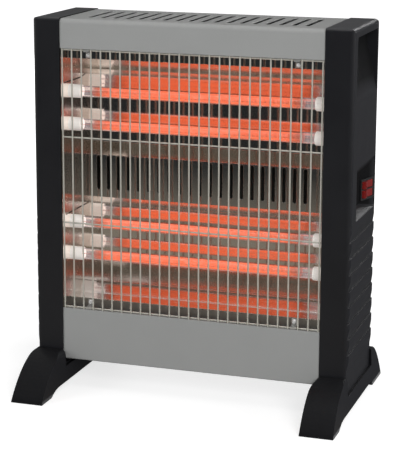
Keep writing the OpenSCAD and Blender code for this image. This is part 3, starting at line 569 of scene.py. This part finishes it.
def zinc_sheet():
    """Plain zinc-coated sheet with faint crystals."""
    material, tree = new_material("zinc_sheet", {"Metallic": 1.0})
    crystals = node(tree, "ShaderNodeTexVoronoi", None,
                    {"Vector": object_place(tree), "Scale": 180.0})
    rolled = use_group(tree, "rolled_sheet", {"Lines": 0.4, "Waves": 1.0})
    shade = component(tree, crystals.outputs["Color"], "X")
    return driven(material, {
        "Base Color": blend_colours(tree, shade, *ZINC),
        "Roughness": remap(tree, shade, 0.0, 1.0, 0.36, 0.50),
        "Normal": bumped(tree, rolled["Height"], 0.15, 0.0003)})


def plated(name, colour, rough, metallic=0.85):
    """Bright plating on wire, screws and strips, with fine grain. rough is its lowest and
    highest roughness."""
    material, tree = new_material(name, {"Metallic": metallic, "Specular IOR Level": 0.6})
    grain = use_group(tree, "surface_grain", {"Size": 0.0007, "Pits": 0.15})
    duller = opaque(shaded(colour, 0.86))
    return driven(material, {
        "Base Color": blend_colours(tree, grain["Clouds"], duller, opaque(colour)),
        "Roughness": stretched(tree, grain["Clouds"], *rough),
        "Normal": bumped(tree, grain["Height"], 0.08, 0.0001)})


def quartz(finishes, coil_end):
    """Clear fused quartz with faint drawing lines, with a painted warm glow along the coil
    and a faint painted glow past its ends."""
    material, tree = new_material("fused_quartz", {
        "Base Color": CLEAR_QUARTZ, "IOR": 1.458, "Transmission Weight": 1.0,
        "Metallic": 0.0, "Emission Strength": 1.0})
    rolled = use_group(tree, "rolled_sheet", {"Lines": 0.5, "Waves": 0.3})
    away = away_from_middle(tree)
    # Painted glow: a warm emission near the coil, and a faint one past its ends
    lit = remap(tree, away, coil_end - 22 * MM, coil_end + 4 * MM, 0.06, 0.0)
    warm = blend_colours(tree, lit, UNLIT, opaque(finishes.glow))
    past = remap(tree, away, coil_end - 8 * MM, coil_end + 4 * MM, 0.0, 1.0)
    return driven(material, {
        "Emission Color": blend_colours(tree, past, warm, QUARTZ_PAINTED_END_GLOW),
        "Roughness": stretched(tree, rolled["Streaks"], 0.02, 0.07),
        "Normal": bumped(tree, rolled["Height"], 0.04, 0.0002)})


def glowing_wire(finishes, coil_end):
    """Hot resistance wire: orange along the coil, dull and dark towards the cold ends."""
    material, tree = new_material("glowing_wire", {
        "Metallic": 0.3, "Roughness": 0.6, "Emission Strength": 1.0})
    grain = use_group(tree, "surface_grain", {"Size": 0.004, "Pits": 0.0})
    heat = remap(tree, away_from_middle(tree), coil_end - 22 * MM, coil_end + 2 * MM, 1.0, 0.25)
    uneven = stretched(tree, grain["Clouds"], 0.90, 1.0)
    hot = blend_colours(tree, times(tree, heat, uneven), UNLIT, opaque(finishes.glow))
    return driven(material, {
        "Emission Color": hot,
        "Base Color": blend_colours(tree, grain["Clouds"], *COLD_WIRE)})


def ceramic(finishes):
    """Unglazed white ceramic, speckled and slightly chalky, with a painted warm glow that
    stands for the light the tubes send into it by way of the reflector. Its mirror images
    have more of the painted glow."""
    material, tree = new_material("white_ceramic", {
        "Metallic": 0.0, "Specular IOR Level": 0.4, "Emission Strength": 1.0})
    # Painted glow, stronger in mirror images
    mirrored = node(tree, "ShaderNodeLightPath").outputs["Is Glossy Ray"]
    faint, strong = (opaque(shaded(CERAMIC_PAINTED_GLOW, share)) for share in (0.22, 0.60))
    grain = use_group(tree, "surface_grain", {"Size": 0.0006, "Pits": 0.5})
    edges = use_group(tree, "worn_edges", {"Radius": 0.0006, "Patchiness": 0.4})
    chalky = opaque(shaded(finishes.ceramic, 0.90))
    speckled = blend_colours(tree, grain["Clouds"], chalky, opaque(finishes.ceramic))
    return driven(material, {
        "Emission Color": blend_colours(tree, mirrored, faint, strong),
        "Base Color": speckled,
        "Roughness": stretched(tree, grain["Clouds"], 0.55, 0.75),
        "Normal": bumped(tree, grain["Height"], 0.3, 0.0001, edges["Rounded"])})


def gloss_moulding(name, colour, rough, glow=0.0):
    """Glossy moulded plastic of the switch, lit from inside where glow is above 0."""
    material, tree = new_material(name, {
        "Metallic": 0.0, "Specular IOR Level": 0.4, "Coat Weight": 0.5, "Coat Roughness": 0.08,
        "Emission Strength": glow, "Emission Color": opaque(colour)})
    grain = use_group(tree, "surface_grain", {"Size": 0.003, "Pits": 0.1})
    edges = use_group(tree, "worn_edges", {"Radius": 0.0004, "Patchiness": 0.6})
    lighter = opaque([min(1.0, c * 1.25 + 0.004) for c in colour])
    return driven(material, {
        "Base Color": blend_colours(tree, grain["Clouds"], opaque(colour), lighter),
        "Roughness": stretched(tree, grain["Clouds"], rough, rough + 0.1),
        "Normal": bumped(tree, grain["Height"], 0.05, 0.0001, edges["Rounded"])})


def braided_sleeve():
    """Woven glass-fibre sleeve on the inner wires: crossed fine bands."""
    material, tree = new_material("braided_sleeve", {
        "Metallic": 0.0, "Sheen Weight": 0.3, "Sheen Roughness": 0.5})
    place = object_place(tree)
    crossed = []
    for turn in (35, -35):
        turned = node(tree, "ShaderNodeMapping", None,
                      {"Vector": place, "Rotation": (radians(turn), radians(turn), 0.0)})
        band = node(tree, "ShaderNodeTexWave", None,
                    {"Vector": turned.outputs["Vector"], "Scale": 420.0, "Distortion": 1.0})
        crossed.append(band.outputs["Fac"])
    weave = maths(tree, "MAXIMUM", *crossed)
    return driven(material, {
        "Base Color": blend_colours(tree, weave, *SLEEVE),
        "Roughness": remap(tree, weave, 0.0, 1.0, 0.9, 0.7),
        "Normal": bumped(tree, weave, 0.6, 0.0002)})


def finish(nodes, material):
    """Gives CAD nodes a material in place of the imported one."""
    for name in nodes:
        slots = NODES[name].data.materials
        slots.clear()
        slots.append(material)


# -------------------- fine pieces

def last_turn(details):
    """How far from the heater's middle a coil's last turn lies."""
    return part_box("main_reflector")[1].x - details.cold_end


def coil_surface(number, details):
    """Coil of resistance wire between two studs. The wire's middle runs at
    (x, R cos t, R sin t), where x grows evenly with t along the coil, R falls to 0
    over the last half turn at each end, and t stands still along the straight leads."""
    low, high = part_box(f"heating_coil_{number}")
    end = last_turn(details)
    middle = np.array([0.0, (low.y + high.y) / 2, (low.z + high.z) / 2])
    turns = round(2 * end / details.coil_pitch)
    lead_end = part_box(f"quartz_tube_{number}")[1].x + 2 * MM
    turn_steps, lead_steps, wire_sides, stud_sides = 12, 5, 6, 20
    s = np.linspace(-0.5, turns + 0.5, turn_steps * (turns + 1) + 1)
    reach = (details.coil_od - details.coil_wire) / 2
    radius = reach * smooth_step((s + 0.5) / 0.5) * smooth_step((turns + 0.5 - s) / 0.5)
    x = -end + 2 * end * (s + 0.5) / (turns + 1)
    lead = (lead_end - end) * np.linspace(0, 1, lead_steps + 1)
    x = np.concatenate([-lead_end + lead[:-1], x, end + lead[1:]])
    s = np.concatenate([np.full(lead_steps, s[0]), s, np.full(lead_steps, s[-1])])
    radius = np.concatenate([np.zeros(lead_steps), radius, np.zeros(lead_steps)])
    t = s * TAU
    radial = np.stack([np.zeros_like(t), np.cos(t), np.sin(t)], -1)
    centres = middle + radius[:, None] * radial + np.stack([x, 0 * x, 0 * x], -1)
    tangents = np.gradient(centres, axis=0)
    tangents /= np.linalg.norm(tangents, axis=1, keepdims=True)
    normals = radial - (radial * tangents).sum(1, keepdims=True) * tangents
    normals /= np.linalg.norm(normals, axis=1, keepdims=True)
    parts = [wire_along(centres, tangents, normals, details.coil_wire / 2, wire_sides)]
    for side in (-1, 1):
        parts.append(revolve(stud_profile(lead_end, high.x), middle, (side, 0, 0), stud_sides))
    return joined(parts)


def stud_profile(start, tip):
    """Threaded stud: a neck of radius 1.9 mm, then a radius of 1.85 mm that ripples by
    0.13 mm either way once in each pitch, and a drawn-in tip."""
    pitch, step, neck = 0.7 * MM, 0.175 * MM, 6 * MM
    thread = np.arange(start + neck, tip - 0.5 * MM, step)
    ripple = 1.85 * MM + 0.13 * MM * np.cos((thread - start) / pitch * TAU)
    body = np.stack([thread, ripple], -1)
    return np.concatenate([[[start, 0], [start, 1.9 * MM]], body, [[tip, 1.4 * MM], [tip, 0]]])


def screw_surface(place, out, head_d, head_h, shank_l):
    """Pan-head screw with a cross recess. Over a polar grid (r, a) the head's height is a
    flattened dome minus a recess where the point lies in one of two crossed bars."""
    out = np.asarray(out, float)
    e1 = np.cross(out, [0.3, 0.5, 0.8])
    e1 /= np.linalg.norm(e1)
    e2 = np.cross(out, e1)
    rings, sides = 19, 48
    r = np.linspace(0, 1, rings)[:, None] * head_d / 2
    a = np.arange(sides)[None, :] * TAU / sides
    u, v = r * np.cos(a), r * np.sin(a)
    dome = head_h * (1 - (2 * r / head_d) ** 4 * 0.55) + 0 * a
    bar, reach, deepest = 0.085 * head_d, 0.30 * head_d, 0.6 * head_h
    along_u = (np.abs(u) < reach) & (np.abs(v) < bar)
    along_v = (np.abs(v) < reach) & (np.abs(u) < bar)
    depth = deepest * (1 - r / (0.36 * head_d))
    height = dome - np.where(along_u | along_v, np.clip(depth, 0, None), 0)
    top = place + height[..., None] * out + u[..., None] * e1 + v[..., None] * e2
    rim = [(0.45 * head_h, head_d / 2), (0, head_d / 2), (0, head_d * 0.28),
           (-shank_l, head_d * 0.27), (-shank_l, 0)]
    return joined([(top.reshape(-1, 3), grid_quads(rings, sides, wrap_cols=True)),
                   revolve(rim, place, out, sides, e1)])


def weld_surface(details):
    """A flattened ball (x, y, z) = c + (a cos p cos q, b sin p, a cos p sin q) at each
    crossing of the guard's wires."""
    low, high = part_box("wire_guard")
    count = int((high.x - low.x - GUARD_WIRE) // GUARD_PITCH) + 1
    columns = (np.arange(count) - (count - 1) / 2) * GUARD_PITCH
    rows = np.linspace(low.z + GUARD_ROW_INSET, high.z - GUARD_ROW_INSET, GUARD_ROWS)
    rings, sides = 6, 8
    p = np.linspace(-pi / 2, pi / 2, rings)[:, None]
    q = np.arange(sides)[None, :] * TAU / sides
    a, b = details.weld_d / 2, 0.7 * MM
    ball = np.stack([a * np.cos(p) * np.cos(q), b * np.sin(p) + 0 * q,
                     a * np.cos(p) * np.sin(q)], -1).reshape(-1, 3)
    xs, zs = np.meshgrid(columns, rows)
    centres = np.stack([xs.ravel(), np.full(xs.size, low.y + GUARD_WIRE), zs.ravel()], -1)
    points = (centres[:, None] + ball[None]).reshape(-1, 3)
    starts = np.arange(len(centres))[:, None, None] * len(ball)
    faces = (grid_quads(rings, sides, wrap_cols=True)[None] + starts).reshape(-1, 4)
    return points, faces


def rocker_surface(pivot):
    """Rocker with a shallow curved valley. Its outline (x, y) is an arc of radius R at each
    end, joined in front by x = d + (k / R) (sqrt(y^2 + c^2) - c) and behind by a flat keel.
    At e (1 - cos q) from each side, along z, the outline is drawn in by e (1 - sin q)."""
    radius, depth, rise, crease = 12.97 * MM, 3.5 * MM, 2.45 * MM, 1.6 * MM
    y = np.linspace(-11.9, 11.9, 41) * MM
    valley = depth + rise / radius * (np.sqrt(y ** 2 + crease ** 2) - crease)
    front = np.stack([valley, y], -1)
    a = np.linspace(np.arctan2(y[-1], valley[-1]), pi / 2, 9)[1:]
    end = radius * np.stack([np.cos(a), np.sin(a)], -1)
    keel = np.array([(-3.4, 8.0), (-3.4, -8.0)]) * MM
    outline = np.concatenate([front, end, keel, end[::-1] * (1, -1)])
    middle = np.array([1.0 * MM, 0.0])
    ahead, behind = np.roll(outline, -1, 0), np.roll(outline, 1, 0)
    inward = (ahead - behind)[:, ::-1] * (-1, 1)
    inward /= np.linalg.norm(inward, axis=1, keepdims=True)
    inward *= np.sign(((middle - outline) * inward).sum(1, keepdims=True))
    edge, half = 0.7 * MM, 4.65 * MM
    q = np.linspace(0, pi / 2, 5)
    draw = np.concatenate([edge * (1 - np.sin(q)), edge * (1 - np.sin(q[::-1]))])
    level = np.concatenate([-half + edge * (1 - np.cos(q)), half - edge * (1 - np.cos(q[::-1]))])
    rings = outline[None] + draw[:, None, None] * inward[None]
    cap = np.broadcast_to(middle, rings[:1].shape)
    rings = np.concatenate([cap, rings, cap])
    level = np.concatenate([level[:1], level, level[-1:]])
    heights = np.broadcast_to(level[:, None, None], (*rings.shape[:2], 1))
    points = np.concatenate([rings, heights], -1).reshape(-1, 3)
    turn = np.array(Matrix.Rotation(ROCKER_TILT - WALL_TURN, 3, "Z"))
    body = (points @ turn.T + pivot, grid_quads(len(rings), len(outline), wrap_cols=True))
    pin = np.array([(-5.4, 0), (-5.4, 1.1), (-5.1, 1.2), (5.1, 1.2), (5.4, 1.1), (5.4, 0)]) * MM
    return joined([body, revolve(pin, pivot, (0, 0, 1), 20)])


def screw_places(name, out, head_d, head_h, second_step=0.0):
    """Undersides of the four screw heads at the corners of a node's box. The upper two of a
    row that stands on a stepped face lie second_step further out."""
    low, high = (np.array(corner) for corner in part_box(name))
    out = np.asarray(out, float)
    axis = int(np.argmax(np.abs(out)))
    others = [k for k in range(3) if k != axis]
    tip = (high if out[axis] > 0 else low)[axis] - out[axis] * head_h
    places = []
    for first in (low[others[0]] + head_d / 2, high[others[0]] - head_d / 2):
        for k, second in enumerate((low[others[1]] + head_d / 2, high[others[1]] - head_d / 2)):
            place = np.zeros(3)
            place[axis] = tip - out[axis] * second_step * (1 - k)
            place[others[0]], place[others[1]] = first, second
            places.append(place)
    return places


# -------------------- operators

class HEATER_OT_paint_body(bpy.types.Operator):
    """Enamels the folded sheet-metal body, paints shade on the back panel's inner faces, and
    leaves the base plain zinc
    """
    bl_idname = "quartz_heater.paint_body"
    bl_label = "Paint the body"

    def execute(self, context):
        finishes = context.scene.heater_finishes
        finish(["top_shell", "lower_panel"], enamel(finishes, "satin_enamel", False))
        # The back panel's inner faces get painted shade
        finish(["back_panel"], enamel(finishes, "back_enamel_shaded_inside", True))
        finish(["base_plate"], zinc_sheet())
        return {"FINISHED"}


class HEATER_OT_mould_sides(bpy.types.Operator):
    """Gives the side panels and the feet their grained black plastic, with painted shade in the
    panels' hollows and painted side light on the feet
    """
    bl_idname = "quartz_heater.mould_sides"
    bl_label = "Mould the sides and feet"

    def execute(self, context):
        black = tuple(context.scene.heater_finishes.moulding)
        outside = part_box("right_side_panel")[1].x
        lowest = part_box("switch_housing")[0].z - 12 * MM
        # Painted shade: the panels' grip and switch recess get a fifth of the black, no coat and
        # added roughness
        finish(["left_side_panel", "right_side_panel"], black_moulding(
            "panel_moulding", 0.2, (black, 0.3, 0.0), (shaded(black, 0.2), 0.0, 0.35),
            lambda tree: hollow_painted_shade_mask(tree, outside, lowest)))
        # Painted light: the feet are darkened to 0.55 of the black, and their faces that look to
        # the left or right keep the full black and more coat, as painted side light
        finish(["left_foot", "right_foot"], black_moulding(
            "foot_moulding", 0.04, (shaded(black, 0.55), 0.06, 0.0), (black, 0.3, 0.0),
            sideways_mask))
        return {"FINISHED"}


class HEATER_OT_plate_guard(bpy.types.Operator):
    """Plates the wire guard and adds the weld at each crossing"""
    bl_idname = "quartz_heater.plate_guard"
    bl_label = "Plate the guard"

    def execute(self, context):
        finishes, details = context.scene.heater_finishes, context.scene.heater_details
        wire = plated("nickel_wire", finishes.wire, (0.28, 0.40), 0.35)
        finish(["wire_guard"], wire)
        make_piece("guard_weld_spots", weld_surface(details), wire)
        return {"FINISHED"}


class HEATER_OT_polish_reflector(bpy.types.Operator):
    """Polishes the reflector, the end plates and the guard's clips"""
    bl_idname = "quartz_heater.polish_reflector"
    bl_label = "Polish the reflector"

    def execute(self, context):
        finishes = context.scene.heater_finishes
        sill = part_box("lower_panel")[1].z + 12 * MM
        finish(["main_reflector"],
               bright_sheet(finishes, "reflector_sheet", (0.05, 0.10), 0.4, 0.35))
        # Painted shade: the lower reflector's colour is darkened to 0.64 of the bright sheet's
        finish(["lower_reflector"],
               bright_sheet(finishes, "duller_shaded_sheet", (0.07, 0.13), 0.5, 0.5, 0.64, sill))
        finish(["left_end_plate", "right_end_plate"],
               bright_sheet(finishes, "end_plate_sheet", (0.16, 0.26), 2.0, 0.35))
        finish(["guard_clips"], plated("clip_plating", (0.62, 0.62, 0.60), (0.25, 0.35), 0.7))
        return {"FINISHED"}


class HEATER_OT_fit_tubes(bpy.types.Operator):
    """Makes the tubes clear quartz and their caps white ceramic"""
    bl_idname = "quartz_heater.fit_tubes"
    bl_label = "Fit the tubes"

    def execute(self, context):
        finishes, details = context.scene.heater_finishes, context.scene.heater_details
        finish([f"quartz_tube_{n}" for n in TUBES], quartz(finishes, last_turn(details)))
        finish([f"{side}_cap_{n}" for side in ("left", "right") for n in TUBES], ceramic(finishes))
        return {"FINISHED"}


class HEATER_OT_wind_coils(bpy.types.Operator):
    """Winds the four glowing coils with their leads and studs"""
    bl_idname = "quartz_heater.wind_coils"
    bl_label = "Wind the coils"

    def execute(self, context):
        finishes, details = context.scene.heater_finishes, context.scene.heater_details
        hot = glowing_wire(finishes, last_turn(details))
        for number in TUBES:
            make_piece(f"wound_coil_{number}", coil_surface(number, details), hot,
                       [f"heating_coil_{number}"])
        return {"FINISHED"}


class HEATER_OT_fit_fasteners(bpy.types.Operator):
    """Makes the cross-head screws and plates the nuts"""
    bl_idname = "quartz_heater.fit_fasteners"
    bl_label = "Fit the fasteners"

    def execute(self, context):
        steel = plated("zinc_plating", (0.88, 0.88, 0.87), (0.20, 0.32), 0.3)
        finish(["left_stud_nuts", "right_stud_nuts"], steel)
        for name, out, head_d, step, shank_l in SCREWS:
            heads = [screw_surface(place, out, head_d, HEAD_HEIGHT, shank_l)
                     for place in screw_places(name, out, head_d, HEAD_HEIGHT, step)]
            make_piece("cross_head_" + name, joined(heads), steel, [name])
        return {"FINISHED"}


class HEATER_OT_dress_switch(bpy.types.Operator):
    """Finishes the double rocker switch"""
    bl_idname = "quartz_heater.dress_switch"
    bl_label = "Dress the switch"

    def execute(self, context):
        finishes = context.scene.heater_finishes
        finish(["switch_housing", "thermal_cutout"],
               gloss_moulding("gloss_black", (0.012, 0.012, 0.012), 0.25))
        red = gloss_moulding("lit_red", finishes.rocker, 0.25, 0.2)
        for joint in frame["joints"]:
            name = joint["child"]
            surface = rocker_surface(np.array(joint["pos_m"]))
            make_piece("curved_" + name, surface, red, [name], body=name)
        return {"FINISHED"}


class HEATER_OT_dress_wiring(bpy.types.Operator):
    """Finishes the strips, blades, wires, connector and rubber bush"""
    bl_idname = "quartz_heater.dress_wiring"
    bl_label = "Dress the wiring"

    def execute(self, context):
        brass = plated("plain_brass", (0.72, 0.52, 0.24), (0.28, 0.42))
        finish(["left_link_strip", "right_link_strips", "switch_blades", "terminal_screws"], brass)
        finish(["feed_wires", "cross_wire"], braided_sleeve())
        finish(["terminal_block"], gloss_moulding("connector_white", (0.66, 0.64, 0.58), 0.45))
        finish(["cord_grommet"], gloss_moulding("matt_rubber", (0.015, 0.015, 0.015), 0.75))
        return {"FINISHED"}


# -------------------- studio

def seen_directly(tree):
    """1 for rays from the camera, from polished metal and through glass, else 0."""
    path = node(tree, "ShaderNodeLightPath").outputs
    direct = maths(tree, "MAXIMUM", path["Is Camera Ray"], path["Is Transmission Ray"])
    return maths(tree, "MAXIMUM", direct, path["Is Glossy Ray"])


def stage_sheet(name, xs, profile, material):
    """Sheet of the studio: each (y, z) of the profile is repeated at every x."""
    profile = np.array(profile)
    across, along = np.repeat(xs, len(profile)), np.tile(profile, (len(xs), 1))
    points = np.concatenate([across[:, None], along], -1)
    mesh = bpy.data.meshes.new(name)
    mesh.from_pydata(points.tolist(), [], grid_quads(len(xs), len(profile)).tolist())
    mesh.materials.append(material)
    sheet = bpy.data.objects.new(name, mesh)
    bpy.context.scene.collection.objects.link(sheet)
    return sheet


def studio_floor(size):
    """Pale floor that is seen as white, but which still takes the shadow. What it adds
    grows from the heater outwards, as the lamps' light falls off."""
    material, tree = new_material("pale_floor", {
        "Base Color": (0.45, 0.45, 0.45, 1.0), "Roughness": 0.8, "Specular IOR Level": 0.2,
        "Emission Color": WHITE})
    away = node(tree, "ShaderNodeVectorMath", {"operation": "LENGTH"}, {0: object_place(tree)})
    share = remap(tree, away.outputs["Value"], 0.3, 1.5, 0.70, 1.0)
    driven(material, {"Emission Strength": times(tree, seen_directly(tree), share)})
    across = np.linspace(-size / 2, size / 2, 9)
    stage_sheet("floor", across, [(y, 0.0) for y in across], material)


def camera_side_flag():
    """Dark cloth laid round the heater and hung behind the camera. Only glossy surfaces
    and glass see it. It takes no lamp light and gives off painted light instead, lighter
    close to the heater's front and darker behind it."""
    material, tree = new_material("dark_cloth_painted_light", {
        "Base Color": UNLIT, "Roughness": 1.0, "Specular IOR Level": 0.0,
        "Emission Strength": 1.0})
    # Painted light: the cloth's own glow stands for lamp light falling on it
    depth = component(tree, object_place(tree), "Y")
    near = remap(tree, depth, -1.35, -0.60, 0.0, 1.0)
    ahead = blend_colours(tree, near, FAR_CLOTH_PAINTED_LIGHT, NEAR_CLOTH_PAINTED_LIGHT)
    behind = remap(tree, depth, -0.30, 0.0, 0.0, 1.0)
    driven(material, {"Emission Color": blend_colours(tree, behind, ahead, BACK_CLOTH_PAINTED_LIGHT)})
    profile = [(3.4, 2.6), (3.1, 0.3), (2.6, 0.01), (1.5, 0.004), (-0.3, 0.004),
               (-0.9, 0.004), (-1.6, 0.004), (-2.6, 0.05), (-3.2, 0.6), (-3.4, 3.5)]
    flag = stage_sheet("camera_side_flag", np.linspace(-4.0, 4.0, 9), profile, material)
    for kind in ("camera", "diffuse", "volume_scatter", "shadow"):
        setattr(flag, "visible_" + kind, False)


def studio_world(studio):
    """White where the camera, metal and glass look, and otherwise a soft room: brighter
    above and behind the heater, and dim on the camera's side."""
    world = bpy.data.worlds.new("studio")
    bpy.context.scene.world = world
    world.use_nodes = True
    tree = world.node_tree
    background = tree.nodes["Background"]
    way = node(tree, "ShaderNodeSeparateXYZ", None,
               {0: node(tree, "ShaderNodeTexCoord").outputs["Generated"]})
    behind = remap(tree, way.outputs["Y"], -0.25, 0.55, studio.dark_side, studio.room)
    above = remap(tree, way.outputs["Z"], 0.35, 0.85, 0.0, studio.room)
    room = maths(tree, "MAXIMUM", behind, above)
    strength = maths(tree, "MAXIMUM", room, seen_directly(tree))
    tree.links.new(strength, background.inputs["Strength"])
    background.inputs["Color"].default_value = WHITE


def soft_lamp(name, place, target, size, watts, seen_in_gloss):
    """Square soft lamp that faces a point and that the camera doesn't see."""
    data = bpy.data.lights.new(name, "AREA")
    data.shape = "SQUARE"
    data.size = size
    data.energy = watts
    lamp = bpy.data.objects.new(name, data)
    lamp.location = place
    lamp.rotation_euler = (Vector(target) - Vector(place)).to_track_quat("-Z", "Y").to_euler()
    lamp.visible_glossy = seen_in_gloss
    lamp.visible_camera = False
    bpy.context.scene.collection.objects.link(lamp)


def studio_camera(studio):
    """Camera turned by yaw about Z, then pitch down, then roll."""
    data = bpy.data.cameras.new("camera")
    data.sensor_fit = "AUTO"
    data.sensor_width = 36
    data.lens = studio.lens
    data.shift_y = studio.drop
    data.clip_end = 100
    ahead = Vector((-sin(studio.yaw) * cos(studio.pitch), cos(studio.yaw) * cos(studio.pitch),
                    -sin(studio.pitch)))
    level = Vector((cos(studio.yaw), sin(studio.yaw), 0))
    down = ahead.cross(level)
    right = cos(studio.roll) * level + sin(studio.roll) * down
    up = -(-sin(studio.roll) * level + cos(studio.roll) * down)
    turn = Matrix((right, up, -ahead)).transposed().to_4x4()
    camera = bpy.data.objects.new("camera", data)
    camera.matrix_world = Matrix.Translation(studio.place) @ turn
    bpy.context.scene.collection.objects.link(camera)
    bpy.context.scene.camera = camera


class HEATER_OT_set_stage(bpy.types.Operator):
    """Builds the floor, the lamps, the room and the camera"""
    bl_idname = "quartz_heater.set_stage"
    bl_label = "Set the stage"

    def execute(self, context):
        studio = context.scene.heater_studio
        studio_floor(studio.floor)
        studio_world(studio)
        camera_side_flag()
        for name, settings in LAMPS.items():
            soft_lamp(name, *settings)
        studio_camera(studio)
        context.scene.view_settings.view_transform = "Standard"
        return {"FINISHED"}


# -------------------- panel and order of the steps

class HEATER_PT_panel(bpy.types.Panel):
    """Lists the steps in the order in which they are run"""
    bl_label = "Quartz heater"
    bl_idname = "HEATER_PT_panel"
    bl_space_type = "VIEW_3D"
    bl_region_type = "UI"
    bl_category = "Quartz heater"

    def draw(self, context):
        for step in STEPS:
            self.layout.operator(step.bl_idname)
        for group in (context.scene.heater_finishes, context.scene.heater_details,
                      context.scene.heater_studio):
            box = self.layout.box()
            for key in group.__annotations__:
                box.prop(group, key)


STEPS = (
    HEATER_OT_paint_body, HEATER_OT_mould_sides, HEATER_OT_plate_guard, HEATER_OT_polish_reflector,
    HEATER_OT_fit_tubes, HEATER_OT_wind_coils, HEATER_OT_fit_fasteners, HEATER_OT_dress_switch,
    HEATER_OT_dress_wiring, HEATER_OT_set_stage,
)
SETTINGS = (HeaterFinishes, HeaterDetails, HeaterStudio)


def register():
    for made in (*SETTINGS, *STEPS, HEATER_PT_panel):
        bpy.utils.register_class(made)
    bpy.types.Scene.heater_finishes = bpy.props.PointerProperty(type=HeaterFinishes)
    bpy.types.Scene.heater_details = bpy.props.PointerProperty(type=HeaterDetails)
    bpy.types.Scene.heater_studio = bpy.props.PointerProperty(type=HeaterStudio)


def unregister():
    del bpy.types.Scene.heater_studio
    del bpy.types.Scene.heater_details
    del bpy.types.Scene.heater_finishes
    for made in reversed((*SETTINGS, *STEPS, HEATER_PT_panel)):
        bpy.utils.unregister_class(made)


def main():
    register()
    for step in STEPS:
        group, name = step.bl_idname.split(".")
        getattr(getattr(bpy.ops, group), name)()


if __name__ == "__main__":
    main()
